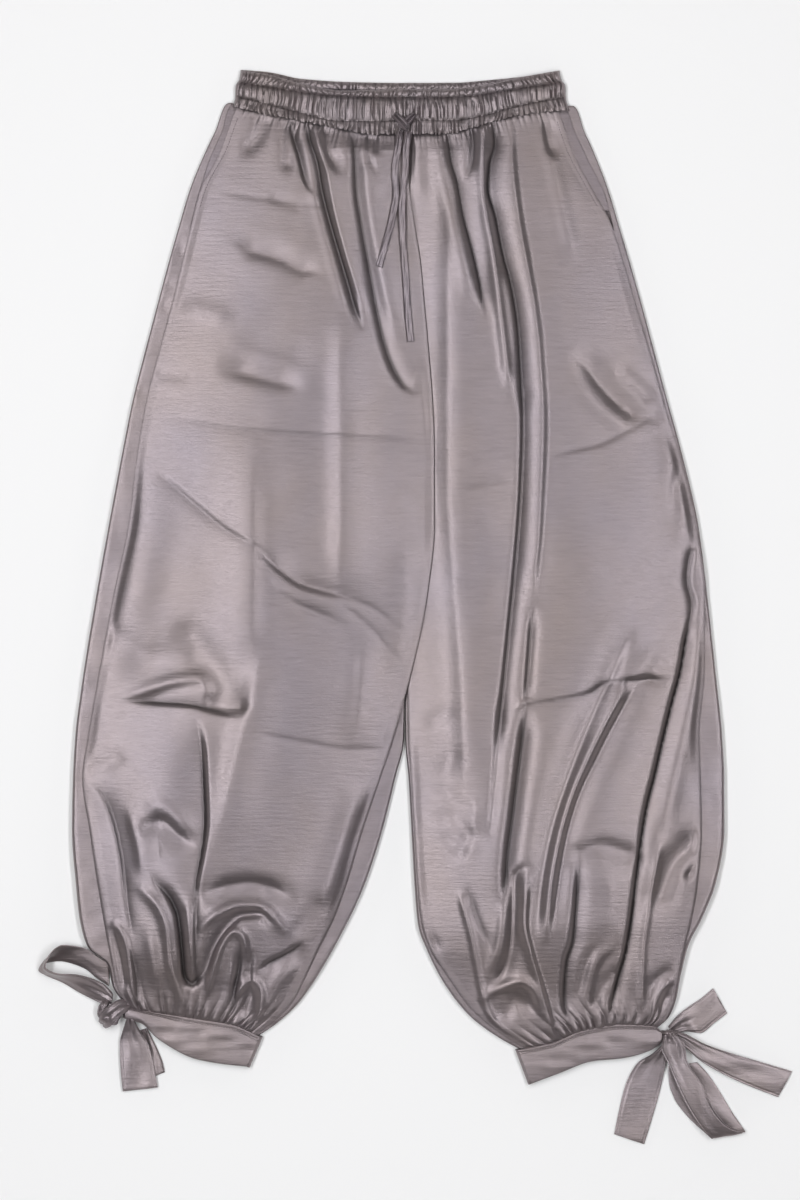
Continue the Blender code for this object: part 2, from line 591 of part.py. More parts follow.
def front_panel(name, leg, folds, collection):
    def place(i, j):
        return front_point(leg, folds, i / FRONT_COLUMNS, FRONT_ROWS[j])

    bm = grid_mesh(FRONT_COLUMNS, len(FRONT_ROWS) - 1, place)
    face_up(bm)
    add_wall(finish_object(name, bm, collection), CLOTH, -1.0)


def back_panel(name, leg, side, collection):
    columns = 2 * ARC_STEPS + 6

    def place(i, j):
        return back_point(leg, side, i, BACK_ROWS[j])

    bm = grid_mesh(columns, len(BACK_ROWS) - 1, place)
    face_up(bm)
    bmesh.ops.reverse_faces(bm, faces=bm.faces[:])
    add_wall(finish_object(name, bm, collection), CLOTH, -1.0)


def pocket_facing(name, leg, collection):
    """The strip that shows inside a pocket's mouth, from the side seam to under the front."""

    def place(i, j):
        v = POCKET_ROWS[j]
        row = station(leg, v)
        strip = strip_width(row, 1)[0]
        x, y, z = back_point(leg, 1, 0, v)
        z -= FACING_DROP * (1 - smooth(v, POCKET_ROWS[0], POCKET_ROWS[1]))
        towards = 1 if row["front_x"] > row["fold_x"] else -1
        under_front = abs(row["front_x"] - row["fold_x"]) + FACING_TUCK
        share = SEAM_GAP + (under_front - strip - SEAM_GAP) * i / 2
        return x + towards * share, y, z

    bm = grid_mesh(2, len(POCKET_ROWS) - 1, place)
    face_up(bm)
    add_wall(finish_object(name, bm, collection), CLOTH, -1.0)


def waistband(name, table, lines, under, top, puff, collection):
    """A casing: gathered waves on a plain flat underside."""
    columns = 2 * BAND_WAVES
    rows = 2 * (len(lines) - 1)

    def place(i, j):
        share = i / columns
        x = BAND_START_X + BAND_SPAN * share
        y = [band_line(table, line, x)[0] for line in lines]
        low, high = j // 2, min(j // 2 + 1, len(lines) - 1)
        down = y[low] if j % 2 == 0 else (y[low] + y[high]) / 2
        ends = curve([e[0] for e in BAND_ENDS], [[e[1], e[2]] for e in BAND_ENDS], down)[0]
        across = ends[0] + (ends[1] - ends[0]) * share
        wave = (-1) ** (i + j // 2)
        at_end = min(1.0, min(i, columns - i) / BAND_END_STEPS)
        height = top + (puff if j % 2 else 0.0)
        if j in (0, rows):
            height -= BAND_RIM_DROP
            down += wave * (BAND_RUFFLE_TOP if j == 0 else BAND_RUFFLE_LOWER) * at_end
        height += wave * BAND_WAVE_HEIGHT / 2 * at_end
        height -= (1 - at_end) * BAND_END_DROP * puff
        return across, down, height

    bm = grid_mesh(columns, rows, place)
    face_up(bm)
    rim = [edge for edge in bm.edges if edge.is_boundary]
    walls = bmesh.ops.extrude_edge_only(bm, edges=rim)
    for vert in (item for item in walls["geom"] if isinstance(item, bmesh.types.BMVert)):
        vert.co.z = under * MM
    bmesh.ops.edgeloop_fill(bm, edges=[edge for edge in bm.edges if edge.is_boundary])
    bmesh.ops.recalc_face_normals(bm, faces=bm.faces[:])
    finish_object(name, bm, collection)


def cuff(name, lines, collection):
    """A flattened tube: the cuff's two layers joined by a round fold at each end."""
    upper = np.array(lines["upper"], float)
    lower = np.array(lines["lower"], float)
    across_steps, arc_steps = CUFF_STEPS_ACROSS, CUFF_STEPS_ROUND
    around = 2 * (across_steps + arc_steps)
    inset = CUFF_HEIGHT * CUFF_ROUNDNESS

    def place(i, j):
        k = i % around
        half = CUFF_HEIGHT / 2
        if k <= across_steps:
            share, reach, z = k / across_steps, 0.0, CUFF_HEIGHT
        elif k < across_steps + arc_steps:
            angle = math.pi / 2 - math.pi * (k - across_steps) / arc_steps
            share, reach, z = 1.0, inset * math.cos(angle), half + half * math.sin(angle)
        elif k <= 2 * across_steps + arc_steps:
            share, reach, z = 1 - (k - across_steps - arc_steps) / across_steps, 0.0, 0.0
        else:
            angle = -math.pi / 2 - math.pi * (k - 2 * across_steps - arc_steps) / arc_steps
            share, reach, z = 0.0, inset * math.cos(angle), half + half * math.sin(angle)
        down = j / CUFF_ROWS
        knots = np.linspace(0, 1, len(upper))
        a = curve(knots, upper, share)[0]
        b = curve(knots, lower, share)[0]
        ends = (upper[-1] * (1 - down) + lower[-1] * down) - (upper[0] * (1 - down) + lower[0] * down)
        direction = ends / np.hypot(*ends)
        spot = a * (1 - down) + b * down
        spot = spot + direction * (reach - inset * (2 * share - 1))
        return spot[0], spot[1], z

    bm = grid_mesh(around, CUFF_ROWS, place)
    bmesh.ops.remove_doubles(bm, verts=bm.verts[:], dist=1e-6)
    bmesh.ops.recalc_face_normals(bm, faces=bm.faces[:])
    middle_face = max(bm.faces, key=lambda face: face.calc_center_median().z)
    if middle_face.normal.z < 0:
        bmesh.ops.reverse_faces(bm, faces=bm.faces[:])
    add_wall(finish_object(name, bm, collection), CLOTH, -1.0)


def tie(name, rows, collection):
    """A flat strip of doubled cloth through its two edges."""
    table = np.array(rows, float)
    steps = ROWS_PER_STATION * (len(table) - 1)

    def place(i, j):
        line = curve(np.arange(len(table)), table, j / ROWS_PER_STATION)[0]
        share = i / TIE_COLUMNS
        spot = line[:3] * (1 - share) + line[3:] * share
        return spot[0], spot[1], spot[2]

    bm = grid_mesh(TIE_COLUMNS, steps, place)
    add_wall(finish_object(name, bm, collection), TIE_THICKNESS, 0.0)


def knot(name, centre, half_sizes, turn, collection):
    """A drawn-up knot: a flattened ball with its wraps pressed in."""
    bm = bmesh.new()
    bmesh.ops.create_uvsphere(bm, u_segments=KNOT_SEGMENTS, v_segments=KNOT_RINGS, radius=1.0)
    c, s = math.cos(math.radians(turn)), math.sin(math.radians(turn))
    for vert in bm.verts:
        round_knot = math.atan2(vert.co.y, vert.co.x)
        pinch = 1.0 - KNOT_PLEAT_DEPTH * math.cos(KNOT_PLEATS * round_knot)
        x = vert.co.x * half_sizes[0] * pinch
        y = vert.co.y * half_sizes[1] * pinch
        z = vert.co.z * half_sizes[2]
        vert.co = to_metres(centre[0] + c * x - s * y, centre[1] + s * x + c * y, centre[2] + z)
    bmesh.ops.reverse_faces(bm, faces=bm.faces[:])
    finish_object(name, bm, collection)


def fronts_below(x, y, reach):
    """The highest place of either front within reach of (x, y)."""
    highest = 0.0
    for leg, folds in ((RIGHT_LEG, RIGHT_FOLDS), (LEFT_LEG, LEFT_FOLDS)):
        for v in np.arange(*STRING_STATIONS):
            row = station(leg, v)
            if abs(row["front_y"] * 0.3 + row["edge_y"] * 0.7 - y) > ROW_REACH:
                continue
            for dx in (-reach, 0.0, reach):
                u = (x + dx - row["front_x"]) / (row["edge_x"] - row["front_x"])
                if 0 <= u <= 1:
                    spot = front_point(leg, folds, u, v)
                    if abs(spot[1] - y) < reach:
                        highest = max(highest, spot[2])
    return highest


def drawstring_end(name, route, rise, collection):
    """A flat tie that lies on the fronts."""
    route = np.array(route, float)
    last = len(route) - 1
    steps = ROWS_PER_STATION * last

    def along(station_number):
        return curve(np.arange(len(route)), route, min(max(station_number, 0), last))[0]

    heights = []
    for j in range(steps + 1):
        x, y = along(j / ROWS_PER_STATION)
        below = max(fronts_below(x, y, STRING_REACH), BAND_TOP if y < BAND_EDGE else 0.0)
        raised = rise * (1 - smooth(y, STRING_PARTING - STRING_PARTING_RUN, STRING_PARTING))
        heights.append(below + STRING_CLEARANCE + raised)

    def place(i, j):
        share = j / ROWS_PER_STATION
        here = along(share)
        way = along(share + 0.25) - along(share - 0.25)
        way = way / np.hypot(*way)
        aside = (i / 2 - 0.5) * STRING_WIDTH
        return here[0] + way[1] * aside, here[1] - way[0] * aside, heights[j]

    bm = grid_mesh(2, steps, place)
    add_wall(finish_object(name, bm, collection), STRING_THICKNESS, 0.0)


def main():
    clear_scene()
    trousers = bpy.data.collections.new("Trousers")
    bpy.context.scene.collection.children.link(trousers)
    front_panel("front_leg_right", RIGHT_LEG, RIGHT_FOLDS, trousers)
    front_panel("front_leg_left", LEFT_LEG, LEFT_FOLDS, trousers)
    back_panel("back_leg_right", RIGHT_LEG, 1, trousers)
    back_panel("back_leg_left", LEFT_LEG, -1, trousers)
    pocket_facing("pocket_facing_right", RIGHT_LEG, trousers)
    pocket_facing("pocket_facing_left", LEFT_LEG, trousers)
    waistband(
        "waistband_front", BAND_FRONT, BAND_COLUMNS[1:],
        BAND_FRONT_UNDER, BAND_FRONT_TOP, BAND_FRONT_PUFF, trousers,
    )
    waistband(
        "waistband_back", BAND_BACK, ("top", "lower"),
        BAND_BACK_UNDER, BAND_BACK_TOP, BAND_BACK_PUFF, trousers,
    )
    cuff("cuff_right", RIGHT_CUFF, trousers)
    cuff("cuff_left", LEFT_CUFF, trousers)
    for name, rows in TIES.items():
        tie(name, rows, trousers)
    for name, (centre, half_sizes, turn) in KNOTS.items():
        knot(name, centre, half_sizes, turn, trousers)
    for name, route in STRINGS.items():
        drawstring_end(name, route, STRING_RISE[name], trousers)


main()
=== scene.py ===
"""Satin balloon trousers with tied cuffs, laid flat and seen from straight above.

Sizes are millimetres on a cutting board 800 wide and 1200 long: x runs to the right and
y runs down the board, z is up. The origin lies under the garment's middle.
"""
import math

import bmesh
import bpy
import numpy as np
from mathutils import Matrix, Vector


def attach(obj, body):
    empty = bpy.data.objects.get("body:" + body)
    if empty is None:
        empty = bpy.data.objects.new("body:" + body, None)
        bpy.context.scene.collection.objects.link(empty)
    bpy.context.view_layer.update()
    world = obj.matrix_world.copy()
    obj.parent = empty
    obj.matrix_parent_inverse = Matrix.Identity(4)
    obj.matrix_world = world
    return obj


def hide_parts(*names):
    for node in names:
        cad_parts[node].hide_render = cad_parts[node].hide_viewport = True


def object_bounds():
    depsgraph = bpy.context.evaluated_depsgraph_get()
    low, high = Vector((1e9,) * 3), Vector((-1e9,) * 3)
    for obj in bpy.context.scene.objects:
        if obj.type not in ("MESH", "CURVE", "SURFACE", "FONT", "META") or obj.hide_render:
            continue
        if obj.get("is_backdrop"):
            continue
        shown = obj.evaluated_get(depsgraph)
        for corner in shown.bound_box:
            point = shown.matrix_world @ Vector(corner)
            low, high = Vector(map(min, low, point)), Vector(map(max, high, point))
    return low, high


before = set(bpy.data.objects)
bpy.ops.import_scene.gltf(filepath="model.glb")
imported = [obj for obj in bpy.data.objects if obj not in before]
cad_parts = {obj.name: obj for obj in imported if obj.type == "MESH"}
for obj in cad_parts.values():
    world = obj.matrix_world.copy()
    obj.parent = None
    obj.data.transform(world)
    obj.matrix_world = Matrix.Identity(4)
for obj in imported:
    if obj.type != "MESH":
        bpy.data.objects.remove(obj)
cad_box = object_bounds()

MM = 0.001
MIDDLE_X = 415.1
MIDDLE_Y = 607.0
BOARD_CENTRE = (400.0, 600.0)
BOARD_LONG = 1.2
CAMERA_HEIGHT = 4.0

# Cloth and the gaps between layers
CLOTH = 1.5
SEAM_GAP = 0.4
LAYER_GAP = 0.8
# A pocket's mouth reaches this far below the back panel's strip where it is sewn shut
TUCK = 3.0
# The narrowest strip of a back panel that lies on top, and its height between the legs
LIP = 5.0
LIP_HEIGHT = 3.6
FACING_TUCK = 3.5
# The cuff covers this much of the fronts' seam
SEAM_INSIDE = 1.0

# Fronts reach this far under the waistband, and backs stay this far below it
BAND_TUCK = 5.0
BAND_CLEAR = 4.2
# Heights at the waistband and at the cuffs
PANEL_AT_WAIST = 5.2
CUFF_HEIGHT = 8.8
CUFF_LIFT = 1.8
CUFF_STEPS = 70
CUFF_ARC = 9
CUFF_ROWS = 64
PANEL_AT_CUFF = 6.9
STRIP_AT_CUFF = 5.0

# Grid of a front panel: rows, columns and the steps over its rolled rim
FRONT_ROWS = 466
FRONT_COLUMNS = 166
FRONT_RIM = (0.0, 0.06, 0.2, 1.0, 1.9, 3.2)
RIM_SLOPE = 0.08
RIM_WALL = 1.4
# Folds start this far from a front's rim and are whole this much farther in
FOLD_MARGIN = 3.0
FOLD_RISE = 6.0
# Gathers of the fronts: count, shortest and longest reach, height and level
CUFF_GATHERS = (17, 9.0, 24.0, 3.6, 0.2)
WAIST_GATHERS = (30, 5.0, 14.0, 1.6, 0.3)

# One row for each station down the leg, from the waist to the cuff; see LEG_COLUMNS
LEG_COLUMNS = (
    "fold_x", "fold_y", "front_x", "front_y", "mouth", "edge_x", "edge_y",
    "inner_x", "inner_y", "bow", "side", "top", "crown",
)
RIGHT_LEG = (
    (230, 103, 240, 106, 6, 405, 130, 404.7, 126, 0, 3.4, 5.2, 0),
    (206.5, 150, 222, 150, 8, 406, 152, 404.7, 152, 0, 5, 10, 3),
    (190, 190, 201, 190, 1, 409, 190, 404.7, 190, 0, 5.5, 10.2, 5),
    (179.5, 225, 191.5, 225, 0.4, 414, 225, 404.7, 225, 0, 6, 10.4, 6),
    (169, 262, 182.5, 262, -TUCK, 420, 262, 404.7, 262, 0, 6, 10.5, 7),
    (157.5, 305, 172, 305, -TUCK, 424, 305, 404.7, 305, 0, 6, 10.5, 7.5),
    (143, 360, 157, 360, -TUCK, 429, 360, 404.7, 360, 0, 6.5, 10.5, 8),
    (133, 400, 147, 400, -TUCK, 432, 400, 404.7, 400, 0, 6.5, 10.5, 8),
    (122, 455, 137.5, 455, -TUCK, 434, 455, 404.7, 455, 0, 7, 10.5, 8.5),
    (109, 525, 129, 525, -TUCK, 434, 525, 404.7, 525, 0, 7.5, 10.5, 9),
    (96.5, 595, 114, 595, -TUCK, 427, 595, 404.7, 595, 0, 8, 10.5, 10),
    (85, 665, 101, 665, -TUCK, 413, 665, 404.7, 665, 0, 8, 10.5, 11),
    (75.7, 735, 89, 735, -TUCK, 393, 737, 404, 737, 2, 9, 10, 12),
    (73.3, 778, 83, 778, -TUCK, 380, 778, 395, 779, 3, 10, 10, 13),
    (72.3, 830, 90.5, 830, -TUCK, 362, 831, 381.5, 833, 3, 11, 10.5, 14),
    (76, 880, 98, 880, -TUCK, 347, 882, 364, 886, 2, 12, 11, 15),
    (80, 918, 104, 916, -TUCK, 333, 920, 346, 925, 0, 12, 11, 15),
    (88, 946, 108.5, 941, -TUCK, 319, 948, 331.5, 952, -3, 11.5, 11, 13),
    (108, 964, 113, 964, -TUCK, 306, 975, 315.5, 979, -5, 10.5, 10.5, 9.5),
    (113, 986, 117.5, 986, -TUCK, 291, 1003, 296.5, 1005, -7, 8.5, 9.5, 5),
    (122, 1000, 125, 1000, -TUCK, 272, 1022, 275.5, 1024, -5, 7, 8.5, 2.5),
    (133.5, 1013, 135.5, 1013, -TUCK, 252, 1037, 254.5, 1038, -2, 5.1, 6.9, 0),
)
LEFT_LEG = (
    (572, 107, 556, 107, 6, 406, 130, 405.3, 126, 0, 3.4, 5.2, 0),
    (592.5, 150, 571, 150, 12, 407, 152, 405.3, 152, 0, 5, 6.2, 3),
    (608, 190, 592, 190, 11, 404, 190, 405.3, 190, 0, 5.5, 6.4, 5),
    (618.5, 225, 611, 225, 1.5, 409, 225, 405.3, 225, 0, 6, 6.5, 6),
    (629.5, 262, 623, 262, -TUCK, 415, 262, 405.3, 262, 0, 6, 6.5, 7),
    (641.6, 305, 635.5, 305, -TUCK, 419, 305, 405.3, 305, 0, 6, 6.5, 7.5),
    (656.3, 360, 652, 360, -3.5, 424, 360, 405.3, 360, 0, 6.5, 6.5, 8),
    (667, 400, 663, 400, -4, 427, 400, 405.3, 400, 0, 6.5, 6.5, 8),
    (682, 455, 679.5, 455, -5, 429, 455, 405.3, 455, 0, 7, 6.5, 8.5),
    (698, 525, 695.5, 525, -5, 429, 525, 405.3, 525, 0, 7.5, 6.5, 9),
    (707, 595, 704.5, 595, -5, 422, 595, 405.3, 595, 0, 8, 6.5, 10),
    (714.5, 665, 704, 667, -TUCK, 408, 665, 405.3, 665, 0, 8, 7, 11),
    (721.7, 735, 698.5, 735, -TUCK, 409, 737, 405.3, 737, 2, 9, 8.5, 12),
    (723.8, 778, 700, 778, -TUCK, 411, 778, 408.5, 779, 3, 10, 9.5, 13),
    (724, 830, 701, 830, -TUCK, 414, 831, 411.5, 833, 3, 11, 10.5, 14),
    (716, 880, 697, 880, -TUCK, 417, 882, 414.5, 886, 2, 12, 11, 15),
    (701.5, 918, 691, 918, -TUCK, 421, 920, 418, 925, 0, 12, 11, 15),
    (688, 945, 685, 943, -4, 430, 948, 427, 950, -3, 11.5, 11, 13),
    (681, 972, 678.5, 972, -4, 447, 975, 441, 978, -7, 10.5, 10.5, 9.5),
    (675.5, 1000, 673, 1000, -4, 477, 1014, 470, 1016, -11, 8.5, 9.5, 5),
    (669, 1016, 666.5, 1016, -4, 513, 1041, 508.5, 1043, -12, 7, 8.5, 2.5),
    (654, 1030, 652, 1030, -TUCK, 537, 1054, 534, 1055, -9, 5.1, 6.9, 0),
)

# Waistband lines from end to end
BAND_COLUMNS = ("x", "top", "upper_stitch", "lower_stitch", "lower")
BAND_FRONT = (
    (235, 71, 83, 97, 107),
    (262, 75, 87, 103, 114),
    (300, 84, 93, 113, 121),
    (345, 91, 97.5, 122, 130),
    (375, 90.5, 98.5, 122, 135),
    (400, 89.5, 99, 121, 135),
    (450, 89.5, 98.5, 121, 134),
    (480, 86.5, 96, 117, 126),
    (505, 82, 92, 110, 119),
    (530, 77, 88, 104, 114),
    (567, 71, 83, 98, 111),
)
BAND_BACK = (
    (235, 70, 80, 93, 99),
    (262, 72, 82, 98, 104),
    (300, 79, 88, 104, 110),
    (345, 82, 91, 112, 118),
    (400, 83, 92, 116, 122),
    (450, 83, 92, 115, 120),
    (505, 79, 88, 106, 111),
    (530, 76.5, 86, 100, 106),
    (567, 70.5, 80, 93, 102),
)
BAND_LENGTH = 332
BAND_STEPS = 620
# y, left end, right end
BAND_ENDS = (
    (68, 241, 559),
    (80, 239, 561.5),
    (86, 235.5, 565.5),
    (98, 235, 566),
    (112, 231.5, 569.5),
    (140, 231.5, 569.5),
)

# Folds, one row each: width on the left and on the right of a route that runs down the
# board (below and above one that runs across), height (a trough below zero), sharpness
# (2 is round, 1 is a crease), then the route's points, x and y in turn
RIGHT_FOLDS = (
    (2, 9, -3.4, 1.4, 289, 108, 293, 135, 300, 160, 305, 180, 312, 192, 322, 195),
    (6.9, 5.8, 1.5, 2, 298, 108, 307, 150, 316, 195, 334, 262, 350, 318),
    (8.8, 2.4, -4.1, 1.2, 304, 106, 310, 140, 318, 165, 322, 190, 328, 215, 338, 250, 347, 280,
     357, 315, 365, 336),
    (2.9, 9.2, 1.5, 2, 311, 106, 318, 140, 326, 165, 336, 215, 355, 282, 368, 318),
    (6, 9, -3.4, 1.8, 325, 110, 328, 150, 335, 165, 346, 178),
    (4.5, 9.6, -3.4, 1.4, 351, 115, 356, 165, 357, 190, 362, 225, 370, 270, 377, 310, 385, 345,
     400, 380, 412, 391, 427, 390),
    (8, 14, 1.8, 2, 364, 120, 370, 200, 382, 270, 402, 350),
    (4.5, 4.5, -2.2, 1.6, 367, 120, 370, 160, 376, 174),
    (5, 6, -2.6, 1.8, 374, 132, 376, 150),
    (6, 8, -2.4, 1.8, 290, 130, 288, 165),
    (6, 9, -2.6, 1.8, 263, 122, 258, 138, 250, 146),
    (7, 14, -2.4, 1.9, 254, 252, 275, 258, 302, 271),
    (6.2, 6.2, -0.7, 2, 276, 200, 297, 208),
    (9.2, 9.2, 1, 2, 178, 305, 210, 313, 238, 322),
    (14, 18, -1.7, 2, 228, 337, 262, 345, 298, 356, 322, 365),
    (9, 14, -3.4, 2, 214, 364, 262, 377, 310, 389),
    (7.5, 7.5, -1, 2, 160, 374, 183, 376),
    (2.6, 4.8, -0.6, 1.2, 225, 194, 264, 200, 322, 208),
    (11.2, 2, -1, 1.1, 166, 416, 225, 428, 309, 435, 365, 438, 431, 442),
    (14, 26, 3.2, 2, 345, 280, 344, 400, 345, 500, 341, 630),
    (26, 14, 3, 2, 250, 420, 250, 560, 248, 700),
    (14, 24, 2.8, 2, 158, 455, 138, 570, 108, 705),
    (14, 26, 3.4, 2, 277, 612, 258, 690, 238, 765, 213, 885),
    (11, 14, 1.3, 2, 408, 530, 404, 600, 392, 690),
    (10, 16, 1.8, 2, 366, 625, 362, 700, 352, 760),
    (7.2, 2.2, -1.3, 1.2, 160, 474, 200, 508, 230, 532, 262, 549),
    (3.5, 10, -2.6, 1.6, 252, 544, 280, 569, 300, 583, 330, 592, 366, 601),
    (8, 4.6, 1, 2, 258, 560, 284, 583, 312, 597, 345, 606),
    (6, 4, -1.7, 1.6, 284, 595, 300, 606, 320, 614, 342, 624),
    (4.8, 2.2, -0.8, 1.1, 340, 595, 370, 606, 402, 628),
    (4.8, 2.2, -0.7, 1.1, 345, 606, 372, 628, 398, 658),
    (5, 7, 1.9, 2, 122, 698, 150, 689, 180, 680, 198, 678, 207, 686, 208, 700),
    (6, 5, -0.6, 2, 150, 697, 172, 690, 192, 688),
    (16, 16, -3.2, 2, 192, 636, 212, 662, 224, 690),
    (2, 10, -3.4, 1.3, 118, 699, 160, 702, 190, 704, 215, 710, 243, 717),
    (6, 9, -2.4, 2, 214, 703, 230, 707, 240, 707),
    (20, 1.8, -4.4, 1.25, 196, 712, 203, 750, 205, 790, 206, 820, 203, 850, 197, 880, 194, 900,
     198, 924),
    (2.5, 10.3, 1.3, 1.8, 202, 712, 209, 750, 211, 820, 205, 860, 200, 900),
    (14, 7, -3.8, 1.7, 142, 838, 152, 825, 162, 820, 178, 833, 200, 852),
    (12, 9, 1.8, 2, 146, 820, 160, 804, 178, 816, 200, 836),
    (1.8, 12, -2.8, 1.25, 84, 779, 100, 788, 110, 805, 118, 830, 123, 855, 130, 905),
    (5.8, 11.5, 1.8, 2, 128, 800, 141, 850, 145, 880),
    (2.2, 4.8, -1.4, 1.3, 124, 870, 128, 900, 133, 930),
    (16, 8, -5.4, 1.7, 198, 900, 212, 891, 232, 884, 250, 882, 272, 887, 297, 905),
    (4.6, 5.8, 3.4, 1.8, 203, 924, 220, 911, 240, 904, 256, 904, 270, 911, 284, 928),
    (4.5, 8, -4.9, 1.6, 204, 988, 209, 962, 216, 944, 228, 926, 242, 914, 262, 912, 270, 930),
    (3.4, 3.9, 3.1, 1.7, 208, 992, 216, 962, 224, 940, 235, 929, 244, 935, 248, 954),
    (3, 5.8, -3.6, 1.5, 233, 1010, 236, 985, 240, 962, 241, 945),
    (4.6, 4.6, 1.7, 2, 226, 1008, 230, 985, 233, 965),
    (3.4, 8, -2.7, 1.6, 252, 1000, 250, 970, 254, 944),
    (5.8, 4.6, 2.9, 1.8, 143, 888, 160, 905, 168, 925, 171, 960, 178, 985, 184, 1006),
    (3, 7.2, -5.3, 1.4, 158, 880, 172, 898, 179, 915, 183, 950, 185, 974, 192, 983, 204, 972),
    (4.6, 4.6, 1.8, 1.8, 188, 905, 191, 940, 194, 966),
    (2.2, 4.8, -2.2, 1.2, 198, 880, 197, 930, 197, 985),
    (5.8, 3.9, 2.2, 1.8, 107, 930, 116, 924, 126, 938, 131, 966, 134, 1006),
    (5.2, 5.2, -2.5, 1.7, 113, 936, 120, 955, 124, 990),
    (2.2, 6.4, -2.7, 1.2, 133, 950, 137, 975, 139, 1004),
    (6.9, 6.9, 1.7, 2, 150, 930, 156, 965, 160, 990),
    (3.9, 3.7, 3.1, 1.7, 234, 1000, 241, 987, 252, 979, 262, 990, 261, 1008, 252, 1026),
    (6.2, 7.5, -2.8, 1.8, 246, 1010, 251, 996),
    (9.6, 2, -3.4, 1.3, 256, 970, 270, 961, 288, 952, 306, 940),
    (9.2, 9.2, 2.5, 2, 258, 1024, 272, 990, 300, 952),
    (11.5, 10.3, 2.4, 2, 362, 775, 345, 830, 325, 890, 306, 925),
    (9, 9, -1.2, 1.9, 92, 768, 106, 765, 118, 758),
    (4.8, 2, -0.8, 1.1, 262, 733, 310, 742, 345, 748, 380, 748),
    (8.8, 8.8, -1.2, 2, 300, 925, 316, 905),
    (20, 16, -2.6, 2, 120, 640, 150, 660, 190, 660),
)
